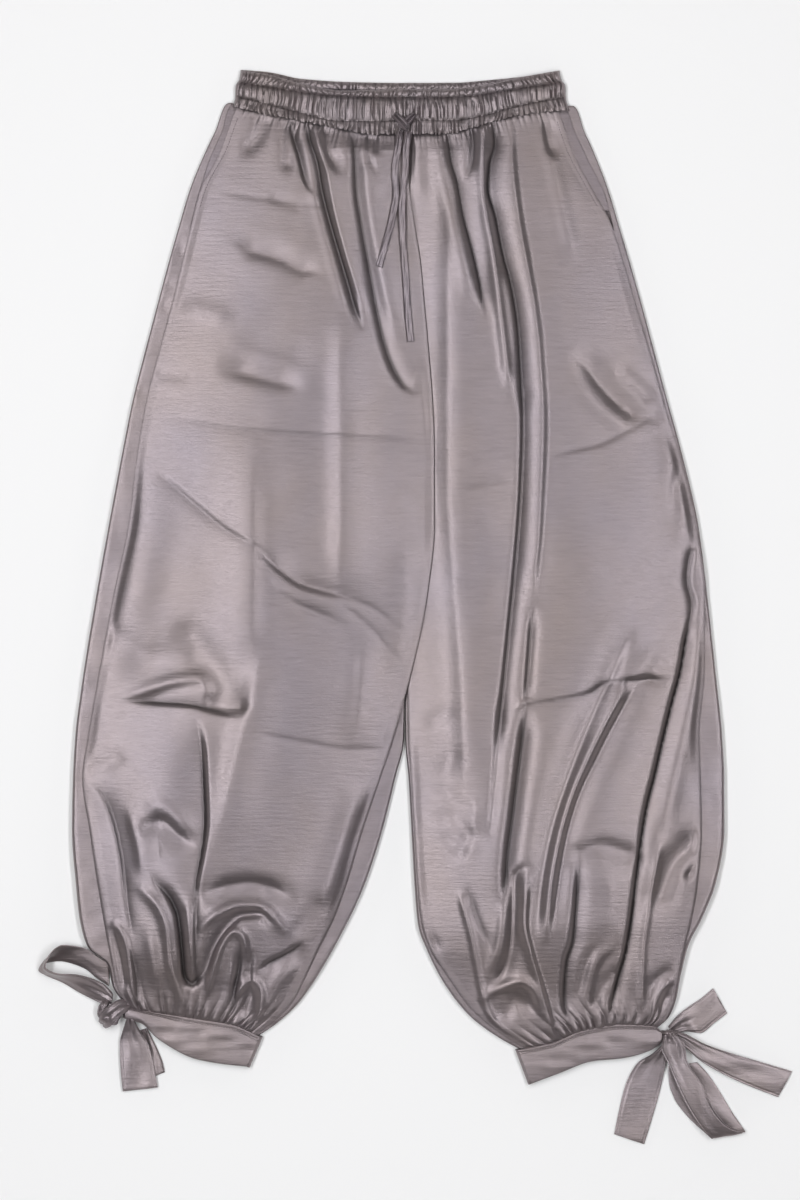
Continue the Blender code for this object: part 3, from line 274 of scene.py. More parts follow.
LEFT_FOLDS = (
    (3.5, 9.6, -3.9, 1.35, 446, 112, 451, 160, 458, 185, 463, 215, 472, 250, 480, 285, 486, 322),
    (9.2, 6.9, 1.7, 2, 432, 112, 444, 190, 462, 262, 474, 310),
    (8, 8, 1.3, 2, 417, 112, 418, 170, 420, 205),
    (4.4, 4.4, -2.7, 1.5, 466, 110, 473, 145, 472, 160, 467, 176),
    (5.8, 4.6, 2.7, 1.8, 485, 106, 482, 150, 483, 175, 486, 215, 492, 250, 497, 290, 502, 330,
     508, 384),
    (4, 9, -4.6, 1.25, 491, 104, 495, 145, 490, 165, 488, 190, 495, 215, 503, 255, 512, 290, 518,
     330, 521, 380, 523, 424),
    (2.8, 6.5, -3.3, 1.35, 523, 400, 523, 430, 521, 490, 515, 570, 510, 620, 506, 660, 502, 700,
     498, 740),
    (3, 6, -1.6, 1.6, 500, 700, 497, 740, 494, 780, 489, 830),
    (14, 4, 1.9, 1.8, 512, 104, 511, 150, 513, 180, 518, 220, 525, 260, 532, 300, 537, 340, 540,
     380, 542, 420, 541, 460, 539, 500, 537, 540, 534, 570, 532, 612),
    (4, 12, -0.6, 1.8, 520, 106, 518, 150, 520, 180, 532, 260, 545, 340, 549, 420, 546, 500, 540,
     570, 536, 610),
    (3, 5.6, -3, 1.35, 532, 612, 530, 640, 527, 680, 525, 702),
    (5, 9.6, -5.1, 1.5, 526, 700, 522, 740, 517, 780, 512, 820, 508, 850, 505, 885, 500, 908),
    (2.5, 3, 1.5, 1.4, 516, 708, 523, 702, 533, 701),
    (5, 8, -3.2, 1.8, 545, 112, 549, 145, 558, 162),
    (9.2, 9.2, 1.7, 2, 540, 106, 552, 165, 560, 200, 568, 235, 577, 272),
    (9, 7, -2.2, 1.9, 568, 112, 580, 160, 600, 205),
    (8, 15, -3, 1.9, 570, 350, 585, 365, 605, 390, 620, 405, 642, 422),
    (9.2, 9.2, 1.1, 2, 560, 372, 600, 410, 640, 440),
    (9.6, 2, -1.1, 1.1, 657, 414, 640, 425, 620, 435, 600, 445, 570, 452, 543, 459),
    (9.6, 2, -0.9, 1.1, 522, 479, 490, 484, 458, 489),
    (8, 8, -1.5, 2, 632, 414, 652, 417),
    (8, 8, -1.5, 2, 625, 374, 646, 396),
    (5.6, 6.2, -1.3, 2, 681, 466, 673, 490, 675, 522),
    (4.6, 3.2, -2.6, 1.5, 699, 545, 690, 555, 687, 580, 692, 605, 690, 620),
    (2, 10.4, -5.3, 1.2, 692, 606, 685, 640, 680, 670, 672, 700, 662, 740, 655, 770, 645, 810,
     640, 840, 635, 880, 630, 920, 625, 950, 618, 975, 612, 1000, 607, 1024),
    (9.2, 10.3, 1.8, 2, 703, 610, 694, 680, 677, 760, 660, 840),
    (14.4, 7, -3.8, 1.7, 635, 615, 620, 650, 607, 680, 597, 700, 580, 740, 565, 780, 552, 820,
     545, 850, 540, 880, 535, 920, 529, 946),
    (5.8, 4.6, 2.2, 1.8, 622, 690, 605, 722, 588, 755, 571, 795, 559, 835, 550, 880, 545, 935),
    (5, 12.8, -3.6, 1.6, 646, 672, 627, 700, 610, 730, 595, 760, 580, 790, 570, 820, 563, 850,
     557, 890, 552, 936),
    (9.6, 2, -1.5, 1.1, 512, 706, 560, 699, 590, 692, 605, 683, 650, 678, 682, 678),
    (8, 3.4, -2.2, 1.6, 628, 682, 640, 680, 650, 679),
    (15, 9, -3.6, 1.9, 580, 852, 600, 845, 626, 852),
    (3.5, 11.2, -4.6, 1.5, 578, 848, 577, 880, 575, 910, 572, 940, 566, 960, 564, 990, 566, 1010,
     576, 1034),
    (5, 8.5, -4.2, 1.6, 537, 871, 525, 866, 515, 875, 513, 900, 512, 930, 507, 960, 495, 984,
     487, 993),
    (5.8, 2.8, 3.4, 1.7, 526, 880, 524, 920, 530, 950, 540, 985, 547, 1010, 553, 1036),
    (4.6, 5.8, 1.7, 2, 503, 905, 499, 940, 488, 972),
    (3.9, 3.4, 2.2, 1.6, 460, 895, 470, 930, 478, 970, 483, 995, 490, 1015, 512, 1040),
    (2.4, 4.8, -1.9, 1.3, 468, 890, 476, 915, 488, 944),
    (8.2, 8.2, -0.8, 1.9, 444, 816, 466, 808),
    (7.5, 7.5, -0.8, 1.9, 456, 818, 464, 830, 474, 838),
    (6.5, 6.5, -0.8, 1.8, 470, 834, 462, 852),
    (6.5, 6.5, 0.9, 1.8, 474, 800, 474, 836, 463, 858),
    (7.5, 7.5, -0.7, 1.9, 448, 838, 458, 850),
    (8.2, 8.2, -0.7, 1.9, 434, 720, 446, 712),
    (8.2, 8.2, -0.7, 1.9, 446, 768, 452, 756),
    (8.2, 8.2, -0.6, 1.9, 445, 790, 453, 800),
    (4.6, 4.6, 2.9, 1.8, 482, 998, 492, 990, 505, 984, 520, 980, 533, 988, 541, 1012),
    (9, 9, -2.6, 1.9, 505, 1012, 515, 1000, 526, 1004),
    (5, 5.6, -1.8, 1.8, 597, 942, 588, 955, 582, 975, 578, 996),
    (6.9, 5.8, 1.7, 2, 604, 950, 594, 966, 588, 1010),
    (6.2, 6.2, -2.2, 1.8, 616, 948, 600, 965, 594, 985, 590, 1014),
    (6.2, 7.5, -1.9, 1.8, 596, 1000, 602, 984, 612, 972),
    (3.9, 3.9, 1.8, 1.6, 658, 848, 652, 880, 647, 910, 642, 950, 641, 1006),
    (14, 10, -3.6, 1.9, 690, 842, 672, 862, 660, 892),
    (4.4, 4.4, -2.2, 1.7, 688, 874, 699, 862),
    (3.9, 3.9, 2.2, 1.7, 684, 996, 678, 982, 668, 982, 655, 1002, 650, 1022),
    (4.5, 5, -2.2, 1.8, 674, 1004, 666, 996, 660, 1010),
    (5, 6.2, -1.7, 1.8, 650, 985, 660, 975, 672, 968),
    (13, 24, 3.2, 2, 453, 170, 452, 300, 452, 480, 458, 580, 466, 700, 470, 830),
    (10.3, 10.3, 1.4, 2, 606, 862, 610, 900, 600, 935),
    (9, 9, -2.4, 1.9, 414, 930, 430, 944),
    (10.3, 10.3, 1.4, 2, 660, 420, 680, 520, 686, 560),
    (9.2, 9.2, 1.3, 2, 660, 640, 640, 668, 618, 690),
)

RIGHT_CUFF = {
    "upper": ((121.5, 1005), (135, 1008), (160, 1012), (200, 1018), (235, 1024), (263, 1036)),
    "lower": ((123.5, 1017), (140, 1022), (158, 1038), (195, 1058), (225, 1064), (250, 1067)),
}
LEFT_CUFF = {
    "upper": ((664, 1030), (655, 1025), (620, 1023), (580, 1030), (550, 1042), (515, 1049)),
    "lower": ((665, 1040), (654, 1048), (625, 1057), (590, 1061), (560, 1072), (528, 1084)),
}

# Ties: one row for each place along the strip, with its two edges (x, y, z at mid cloth)
TIES = {
    "tie_right_loop": (
        (114, 993, 10, 112, 1006, 9),
        (105, 983, 12.5, 99, 1001.5, 5),
        (91, 976.5, 15, 81, 993, 1.8),
        (76, 973, 17, 62, 982, 1.3),
        (60, 972, 19, 46, 975, 1.3),
        (47, 965, 19, 39, 970, 1.3),
        (52, 952, 17, 43, 964, 1.3),
        (64, 944, 12, 60, 961, 1.3),
        (84, 947, 7, 84, 968, 1.3),
        (98, 956, 4.5, 97, 978, 1.3),
        (109.5, 963, 3.4, 109, 986, 1.3),
    ),
    "tie_right_tail": (
        (127, 1018, 10.5, 134, 1017.5, 10.5),
        (122.5, 1032, 5.5, 141, 1031, 5.5),
        (120, 1042, 3.8, 147, 1041, 3.8),
        (120, 1052, 3.5, 151, 1052, 3.5),
        (121, 1072, 3.5, 155, 1070, 3.5),
        (123, 1091, 3.5, 158, 1087, 3.5),
    ),
    "tie_right_tail_behind": (
        (140, 1030, 1, 147, 1028, 1),
        (144, 1046, 1, 158, 1050, 1),
        (146, 1062, 1, 163, 1063, 1),
        (150, 1078, 1, 165, 1072, 1),
    ),
    "tie_left_tail_up": (
        (667.5, 1026, 6.6, 674, 1033, 6.6),
        (675, 1017, 5, 686, 1031, 5),
        (686, 1008, 3, 700, 1033, 1.5),
        (701, 998, 1.5, 714, 1023, 1.5),
        (713, 988, 1.5, 727, 1013, 1.5),
    ),
    "tie_left_tail_side": (
        (668, 1027.5, 11.5, 672, 1036, 11.5),
        (684, 1032.5, 9.4, 686, 1047.5, 9.4),
        (704, 1043, 7, 700, 1060, 7),
        (732, 1053, 5, 724, 1074, 5),
        (762, 1062, 2.5, 750, 1086, 2.5),
        (792, 1071, 1.5, 778, 1097, 1.5),
    ),
    "tie_left_loop": (
        (663, 1034, 15.2, 672, 1029.5, 15.2),
        (660.5, 1047, 13.4, 684, 1042, 13.4),
        (668, 1064, 12, 686, 1058, 12.5),
        (678, 1088, 13, 702, 1084, 14),
        (690, 1111, 11.5, 713, 1108, 12.5),
        (704, 1131, 8.5, 728, 1125, 9),
        (711, 1138, 4.8, 745, 1131, 4.8),
        (703, 1131, 1.4, 741, 1125, 1.4),
        (688, 1117, 1.2, 732, 1112, 1.2),
        (674, 1098, 1.2, 720, 1092, 1.2),
        (669, 1082, 1.2, 708, 1074, 1.2),
        (668, 1066, 1.2, 697, 1062, 1.2),
    ),
    "tie_left_tail_down": (
        (661.5, 1044, 9.4, 669, 1040, 9.4),
        (652, 1053, 6.2, 667, 1050, 6.2),
        (638, 1062, 3, 665, 1066, 3),
        (626, 1083, 1.4, 660, 1090, 1.4),
        (619, 1110, 1.4, 652, 1118, 1.4),
        (614, 1134, 1.4, 644, 1144, 1.4),
    ),
}
# Each tie's cut, in metres: finished width and length of the stretch
TIE_CUTS = {
    "tie_right_loop": (0.022, 0.135), "tie_right_tail": (0.031, 0.067),
    "tie_right_tail_behind": (0.016, 0.050), "tie_left_tail_up": (0.026, 0.062),
    "tie_left_tail_side": (0.027, 0.115), "tie_left_loop": (0.034, 0.185),
    "tie_left_tail_down": (0.031, 0.095),
}
TIE_THICKNESS = 1.8
WRAP_THICKNESS = 1.6
# How far the pleats of a tie, a drawstring end and a knot's wrap run along it
TIE_PINCH = 22.0
STRING_PINCH = 10.0
WRAP_PINCH = 60.0
# The sewn edge of a strip: depth of its groove, and place and width as shares of the strip
HEM_DEPTH = 0.55
HEM_PLACE = 0.062
HEM_WIDTH = 0.016
# Steeper turns than this between faces show as a crisp edge, in degrees, on most pieces and
# on the fronts, whose fold valleys stay smooth
CRISP_ANGLE = 38.0
CRISP_RIM = 66.0

# Painted shade in fold valleys: half width of the dark line painted along a sharp fold, how
# dark that painted shade gets, and how dark the waistband's valleys are painted
CREASE_SHADE_WIDTH = 2.6
CREASE_SHADE_DARKNESS = 0.85
BAND_PAINTED_SHADE = 0.5

# Stitches, and the row of the cuff's grid that they follow
STITCH_PITCH = 2.7
STITCH_LENGTH = 1.8
STITCH_WIDTH = 0.6
STITCH_RISE = 0.3
CUFF_STITCH_ROW = 7
POCKET_STITCH_INSET = 5.0

KNOTS = {
    "tie_right_knot": ((110, 1015.3, 8), (12.8, 11.3, 7.8), 25),
    "tie_left_knot": ((670.4, 1035, 8), (8.5, 5, 7.7), 55),
    "drawstring_knot": ((404, 127, 13.3), (7, 5, 2.6), 0),
}
# Share of a knot that its heart fills under the wraps
HEART_SHARE = 0.86
# Wraps over the knots, as rows of two edges, like the ties
WRAPS = {
    "tie_right_knot": (
        ((129, 998, 5, 133, 1008, 5), (121, 998, 12, 125, 1012, 13),
         (110, 1004, 15.5, 116, 1021, 15.5), (101, 1013, 12, 110, 1026, 11),
         (99, 1021, 4, 106, 1028, 4)),
        ((104, 1000, 4, 112, 997, 6), (99, 1006, 9, 108, 1004, 12.5),
         (98, 1013, 8, 105, 1010, 12), (101, 1020, 3, 106, 1016, 9)),
    ),
    "tie_left_knot": (
        ((663, 1037, 3, 668, 1042, 3), (664, 1033, 11, 671, 1039, 12),
         (669, 1030, 14.8, 675, 1036, 14.8), (673, 1028, 9, 679, 1034, 9)),
        ((661, 1030, 8, 664, 1037, 8), (666, 1029, 13, 669, 1040, 13),
         (672, 1030, 13, 674, 1041, 12), (676, 1034, 6, 676, 1043, 5)),
    ),
    "drawstring_knot": (
        ((392, 118, 10.6, 396, 113, 10.6), (396, 123, 13.6, 401, 117, 13.6),
         (401, 129, 15.4, 407, 123, 15.4), (406, 134, 13, 410, 129, 13)),
        ((417, 117, 10.6, 413, 113, 10.6), (412, 123, 12.6, 407, 118, 12.6),
         (406, 130, 13.6, 401, 125, 13.6), (401, 136, 12, 398, 132, 12)),
    ),
}

# Drawstring ends: flat ties that lie on the fronts
STRING_WIDTH = 7.2
STRING_THICKNESS = 1.5
STRINGS = {
    "drawstring_end_right": (
        (400, 133), (398, 150), (395, 170), (396, 195), (391, 225), (385, 247), (379, 268),
    ),
    "drawstring_end_left": (
        (408, 133), (406, 152), (405, 175), (403, 195), (402, 212), (403, 240), (406, 280),
        (408, 312), (411, 345),
    ),
}
STRING_RISE = {"drawstring_end_right": 0.0, "drawstring_end_left": 2.6}
STRING_PARTING = 250.0
STRING_CLEARANCE = 1.5
BAND_EDGE = 140.0
BAND_TOP = 10.3


def slopes(x, y):
    """Slopes of a curve through given points that never overshoots them."""
    h = np.diff(x)
    d = np.diff(y, axis=0) / h[:, None]
    m = np.zeros_like(y)
    m[0], m[-1] = d[0], d[-1]
    for i in range(1, len(x) - 1):
        w1, w2 = 2 * h[i] + h[i - 1], h[i] + 2 * h[i - 1]
        same = d[i - 1] * d[i] > 0
        safe_a = np.where(same, d[i - 1], 1.0)
        safe_b = np.where(same, d[i], 1.0)
        m[i] = np.where(same, (w1 + w2) / (w1 / safe_a + w2 / safe_b), 0.0)
    return m


def curve(x, y, at):
    """Values at the places `at` on the curve through the points (x, y)."""
    x = np.asarray(x, float)
    y = np.asarray(y, float)
    if y.ndim == 1:
        y = y[:, None]
    m = slopes(x, y)
    at = np.clip(np.atleast_1d(np.asarray(at, float)), x[0], x[-1])
    i = np.clip(np.searchsorted(x, at, side="right") - 1, 0, len(x) - 2)
    h = (x[i + 1] - x[i])[:, None]
    t = ((at - x[i])[:, None]) / h
    a = (1 + 2 * t) * (1 - t) ** 2
    b = t * (1 - t) ** 2
    c = t ** 2 * (3 - 2 * t)
    d = t ** 2 * (t - 1)
    return a * y[i] + b * h * m[i] + c * y[i + 1] + d * h * m[i + 1]


def smooth(value, low, high):
    """0 below low, 1 above high, and a soft step between."""
    t = np.clip((value - low) / (high - low), 0.0, 1.0)
    return t * t * (3 - 2 * t)


def lattice(x, y, size, seed):
    """Soft uneven values between -1 and 1, with lumps of the given size."""
    rng = np.random.default_rng(seed)
    table = rng.uniform(-1, 1, (64, 64))
    gx, gy = x / size, y / size
    ix, iy = np.floor(gx).astype(int), np.floor(gy).astype(int)
    fx, fy = smooth(gx - ix, 0, 1), smooth(gy - iy, 0, 1)
    a, b = table[ix % 64, iy % 64], table[(ix + 1) % 64, iy % 64]
    c, d = table[ix % 64, (iy + 1) % 64], table[(ix + 1) % 64, (iy + 1) % 64]
    return (a * (1 - fx) + b * fx) * (1 - fy) + (c * (1 - fx) + d * fx) * fy


def leg_rows(leg, v):
    """The leg table at stations v, one column of values for each name."""
    values = curve(np.arange(len(leg)), np.array(leg, float), v)
    return {name: values[:, i:i + 1] for i, name in enumerate(LEG_COLUMNS)}


def band_line(table, name, x):
    """The y of one of the waistband's lines at places x."""
    rows = np.array(table, float)
    values = curve(rows[:, 0], rows[:, BAND_COLUMNS.index(name)], np.ravel(x))
    return values[:, 0].reshape(np.shape(x))


def fold_height(x, y, folds):
    """Height that the folds add at board places (x, y), and the painted shade of their valleys.

    Each fold dies away at its ends. Along the valley of each sharp trough a line of shade is painted into
    the colour.
    """
    total = np.zeros(np.shape(x))
    painted_shade = np.zeros(np.shape(x))
    for left, right, height, sharp, *route in folds:
        points = np.array(route, float).reshape(-1, 2)
        knots = np.concatenate([[0.0], np.cumsum(np.hypot(*np.diff(points, axis=0).T))])
        count = max(2, int(knots[-1] / 5.0) + 1)
        line = curve(knots, points, np.linspace(0, knots[-1], count))
        reach = 3.4 * max(left, right)
        near = (x > line[:, 0].min() - reach) & (x < line[:, 0].max() + reach)
        near &= (y > line[:, 1].min() - reach) & (y < line[:, 1].max() + reach)
        px, py = x[near], y[near]
        best = np.full(px.shape, 1e9)
        side = np.zeros(px.shape)
        along = np.zeros(px.shape)
        start = 0.0
        for (ax, ay), (bx, by) in zip(line[:-1], line[1:]):
            length = math.hypot(bx - ax, by - ay)
            dx, dy = (bx - ax) / length, (by - ay) / length
            t = np.clip((px - ax) * dx + (py - ay) * dy, 0, length)
            gap = np.hypot(px - ax - t * dx, py - ay - t * dy)
            nearer = gap < best
            best = np.where(nearer, gap, best)
            side = np.where(nearer, (px - ax) * dy - (py - ay) * dx, side)
            along = np.where(nearer, start + t, along)
            start += length
        fade = min(max(14.0, 4.0 * max(left, right)), start / 3)
        past = fade * 0.6 if max(left, right) < 7.5 else 0.0
        ends = smooth(along, -past, fade) * (1 - smooth(along, start - fade, start + past))
        if start < 4.5 * max(left, right):
            ends = np.ones(px.shape)
        turn = 1.2 if min(left, right) < 4.5 else 0.7 * min(left, right)
        blend = smooth(side, -turn, turn)
        width = left + (right - left) * blend
        total[near] += height * ends * np.exp(-((best / width) ** sharp))
        # Painted shade: a dark line along the valley of each sharp trough, for the colour to darken by
        if height < 0 and sharp < 1.55:
            painted_shade[near] += ends * -height / 5.0 * np.exp(-((best / CREASE_SHADE_WIDTH) ** 2))
    return total, np.clip(painted_shade, 0.0, 1.0)


def gathers(share, count, seed, low=0.45):
    """Uneven gathers along a seam: round ridges up to 1 high, sharp valleys at 0."""
    rng = np.random.default_rng(seed)
    bounds = np.cumsum(np.concatenate([[0.0], rng.uniform(0.55, 1.45, count)]))
    phase = np.interp(share, bounds / bounds[-1], np.arange(count + 1))
    cell = np.clip(phase.astype(int), 0, count - 1)
    tall = rng.uniform(low, 1.0, count)
    return tall[cell] * np.abs(np.sin(math.pi * (phase - cell))) ** 0.8, cell


def to_metres(x, y, z):
    """Board millimetres to metres in the shared frame."""
    return np.stack([(x - MIDDLE_X) * MM, (MIDDLE_Y - y) * MM, z * MM], axis=-1)

def placed(name, data):
    """An object with the given mesh, light or camera, in the scene."""
    thing = bpy.data.objects.new(name, data)
    bpy.context.scene.collection.objects.link(thing)
    return thing


def surface(name, x, y, z, closed=False, down=False, crisp=CRISP_ANGLE, painted_shade=None):
    """A smooth mesh through a grid of board places, facing up unless it is to face down."""
    rows, columns = x.shape
    points = to_metres(x, y, z).reshape(-1, 3)
    order = np.arange(rows * columns).reshape(rows, columns)
    if closed:
        order = np.concatenate([order, order[:, :1]], axis=1)
    quads = np.stack([order[:-1, :-1], order[1:, :-1], order[1:, 1:], order[:-1, 1:]], axis=-1)
    quads = quads.reshape(-1, 4)
    a, b, c = points[quads[:, 0]], points[quads[:, 1]], points[quads[:, 2]]
    if closed:
        centre = points.reshape(rows, columns, 3).mean(axis=1)
        middle = np.repeat(centre[:-1], columns, axis=0)
        turned = (np.cross(b - a, c - a) * ((a + c) / 2 - middle)).sum() < 0
    else:
        turned = np.cross(b - a, c - a)[:, 2].sum() < 0
    if turned != down:
        quads = quads[:, ::-1]
    mesh = bpy.data.meshes.new(name)
    mesh.from_pydata(points.tolist(), [], quads.tolist())
    mesh.shade_smooth()
    mesh.set_sharp_from_angle(angle=math.radians(crisp))
    # Painted shade, kept on the mesh for the satin to darken its colour by
    if painted_shade is not None:
        mesh.attributes.new("painted_shade", "FLOAT", "POINT").data.foreach_set("value", painted_shade.ravel())
    return placed(name, mesh)


def join(name, pieces):
    """One object from several."""
    with bpy.context.temp_override(active_object=pieces[0], selected_editable_objects=pieces):
        bpy.ops.object.join()
    pieces[0].name = name
    return pieces[0]


def front_point(leg, folds, v, distance):
    """Board places of a front panel's face; distance is measured from its outer edge."""
    row = leg_rows(leg, v)
    across_x, across_y = row["edge_x"] - row["front_x"], row["edge_y"] - row["front_y"]
    span = np.hypot(across_x, across_y)
    v = np.asarray(v, float)[:, None]
    u = distance / span
    x = row["front_x"] + across_x * u
    y = row["front_y"] + across_y * u + row["bow"] * 4 * u * (1 - u)
    at_waist = 1 - smooth(v, 0.0, 1.2)
    under_band = band_line(BAND_FRONT, "lower", x) - BAND_TUCK
    y = y + (under_band + v * 38.0 - y) * at_waist
    from_edge = np.minimum(distance, span - distance)
    fade = np.clip((from_edge - FOLD_MARGIN) / FOLD_RISE, 0.0, 1.0)
    swell = row["crown"] * np.maximum(np.sin(math.pi * np.clip(u, 0, 1)), 0.0) ** 0.85
    z = (row["side"] + CLOTH + LAYER_GAP) * (1 - u) + row["top"] * u + swell
    # The folds' heights, and the shade painted along their sharp valleys
    folded, painted_shade = fold_height(x, y, folds)
    z = z + folded * fade * smooth(v, 0.0, 0.3)
    broad = 1.3 * lattice(0.8 * x + 0.6 * y, 0.8 * y - 0.6 * x, 74.0, 3)
    z = z + (broad + 0.16 * lattice(x, y, 21.0, 5)) * fade
    return x, y, z, u, fade, painted_shade * fade


def gathered(away, share, seed, count, shortest, longest, height, level):
    """Heights of gathers that start at a seam and die out at the distance `away` from it."""
    puff, cell = gathers(share, count, seed)
    reach = np.random.default_rng(seed + 1).uniform(shortest, longest, count)[cell]
    return height * (puff - level) * np.exp(-((np.maximum(away, 0) / reach) ** 1.5))


def front_piece(name, leg, folds, cuff, seed):
    """A front panel with its folds, its gathers at both ends and its rolled rim."""
    rough = np.linspace(0, len(leg) - 1, 1600)
    path = leg_rows(leg, rough)
    middle_x = (path["front_x"] + path["edge_x"])[:, 0] / 2
    middle_y = (path["front_y"] + path["edge_y"])[:, 0] / 2 + path["bow"][:, 0]
    length = np.concatenate([[0.0], np.cumsum(np.hypot(np.diff(middle_x), np.diff(middle_y)))])
    v = np.interp(np.linspace(0, length[-1], FRONT_ROWS), length, rough)
    row = leg_rows(leg, v)
    span = np.hypot(row["edge_x"] - row["front_x"], row["edge_y"] - row["front_y"])
    rim = np.array(FRONT_RIM)
    middle = 5.0 + (span - 10.0) * np.linspace(0, 1, FRONT_COLUMNS)
    distance = np.concatenate([np.tile(rim, (len(v), 1)), middle, span - rim[::-1]], axis=1)
    x, y, z, u, fade, painted_shade = front_point(leg, folds, v, distance)
    seam = np.array(sorted(cuff["upper"]), float)
    to_cuff = np.interp(x, seam[:, 0], seam[:, 1]) + SEAM_INSIDE - y
    from_band = y - band_line(BAND_FRONT, "lower", x)
    z = z + gathered(to_cuff, u, seed, *CUFF_GATHERS) * fade
    z = z + gathered(from_band, u, seed + 2, *WAIST_GATHERS) * fade
    at_band = 1 - smooth(from_band, -2.5, 2.0)
    z = z + (PANEL_AT_WAIST - z) * at_band
    at_cuff = smooth(-to_cuff, -1.8, 1.2)
    z = z + (PANEL_AT_CUFF - z) * at_cuff
    # Deep folds flatten out on the cloth below
    lowest = 2 * CLOTH + LAYER_GAP
    z = np.where(z < lowest + 1.5, lowest + 1.5 * np.exp((z - lowest - 1.5) / 1.5), z)
    from_edge = np.minimum(distance, span - distance)
    rim_drop = RIM_SLOPE * np.maximum(FRONT_RIM[4] - from_edge, 0.0)
    rim_drop = rim_drop + RIM_WALL * (from_edge < FRONT_RIM[1] / 2)
    z = z - rim_drop * (1 - at_band) * (1 - at_cuff)
    return surface(name, x, y, z, crisp=CRISP_RIM, painted_shade=painted_shade)


def strip_widths(row, side):
    """Widths of the back panel's strips that lie on top, at the outer and the inner fold."""
    outer = np.abs(row["front_x"] - row["fold_x"]) - row["mouth"]
    inner = side * (row["inner_x"] - row["edge_x"]) + TUCK
    return np.maximum(outer, LIP), np.maximum(inner, LIP)


def back_half(strip, height, lift):
    """Distances from the fold, and heights, from the strip's edge round the fold to below."""
    depth = np.minimum(strip - 0.5, 0.3 * height)
    half = (height - lift) / 2
    t, z = [], []
    for share in np.linspace(0, 1, 6)[:-1]:
        t.append(strip - (strip - depth) * share)
        z.append(height + 0 * strip)
    for angle in np.linspace(math.pi / 2, -math.pi / 2, 11):
        t.append(depth - depth * math.cos(angle))
        z.append(lift + half + half * math.sin(angle))
    return np.concatenate(t, axis=1), np.concatenate(z, axis=1)


# Small tucks across the strips of the back panels that show
BACK_TUCKS = ((180, 251), (171, 285), (164.5, 304), (142, 392), (66, 868), (64, 880), (633, 250),
              (704, 620), (722, 760), (716, 868))


def back_piece(name, leg, side):
    """A back panel: its face on the surface below and the strips that fold over on top."""
    v = np.concatenate(
        [np.linspace(0, 1, 14)[:-1], np.linspace(1, 18, 150)[:-1], np.linspace(18, 21, 30)])
    row = leg_rows(leg, v)
    column = v[:, None]
    way_x, way_y = row["inner_x"] - row["fold_x"], row["inner_y"] - row["fold_y"]
    width = np.hypot(way_x, way_y)
    outer, inner = strip_widths(row, side)
    lift = CUFF_LIFT * smooth(column, 19.6, 20.2)
    joined = 1 - smooth(column, 11.2, 13.0)
    at_cuff = smooth(column, 19.7, 20.2)
    high_out = row["side"] + (STRIP_AT_CUFF - row["side"]) * at_cuff
    high_in = LIP_HEIGHT * joined + (1 - joined) * (row["top"] - CLOTH - LAYER_GAP)
    high_in = high_in + (STRIP_AT_CUFF - high_in) * at_cuff
    t_out, z_out = back_half(outer, high_out, lift)
    t_in, z_in = back_half(inner, high_in, lift)
    below = np.linspace(0, 1, 12)[1:-1]
    t_low = t_out[:, -1:] + (width - t_in[:, -1:] - t_out[:, -1:]) * below
    t = np.concatenate([t_out, t_low, (width - t_in)[:, ::-1]], axis=1)
    z = np.concatenate([z_out, lift + 0 * t_low, z_in[:, ::-1]], axis=1)
    x = row["fold_x"] + way_x / width * t
    y = row["fold_y"] + way_y / width * t + row["bow"] * 4 * (t / width) * (1 - t / width)
    below_band = band_line(BAND_BACK, "lower", x) + BAND_CLEAR
    y = y + (below_band - y) * (1 - smooth(column, 0.0, 0.6))
    ripple = 0.5 * lattice(x, y, 26.0, 11) + 0.3 * lattice(x, y, 9.0, 12)
    for tuck_x, tuck_y in BACK_TUCKS:
        gap = (y - tuck_y - 0.35 * (x - tuck_x)) / 2.2
        ripple = ripple - 1.1 * np.exp(-gap ** 2 - ((x - tuck_x) / 7.0) ** 2)
    z = z + ripple * smooth(z, 3.0, 5.5) * (1 - at_cuff)
    return surface(name, x, y, z, down=True)


def facing_piece(name, leg):
    """The strip that shows inside a pocket's mouth."""
    v = np.linspace(0.3, 2.6, 50)
    row = leg_rows(leg, v)
    outer = strip_widths(row, 1)[0]
    reach = np.abs(row["front_x"] - row["fold_x"]) + FACING_TUCK
    share = np.linspace(0, 1, 14)
    t = outer + SEAM_GAP + (reach - outer - SEAM_GAP) * share
    towards = np.sign(row["front_x"] - row["fold_x"])
    x = row["fold_x"] + towards * t
    y = row["fold_y"] + (row["inner_y"] - row["fold_y"]) * 0.02 + 0 * t
    below_band = band_line(BAND_BACK, "lower", x) + BAND_CLEAR
    y = y + (below_band - y) * (1 - smooth(v[:, None], 0.0, 0.6))
    z = row["side"] + 0 * t - 0.8 * (1 - smooth(v[:, None], 0.3, 0.65))
    z = z + 0.25 * lattice(x, y, 12.0, 21)
    return surface(name, x, y, z)


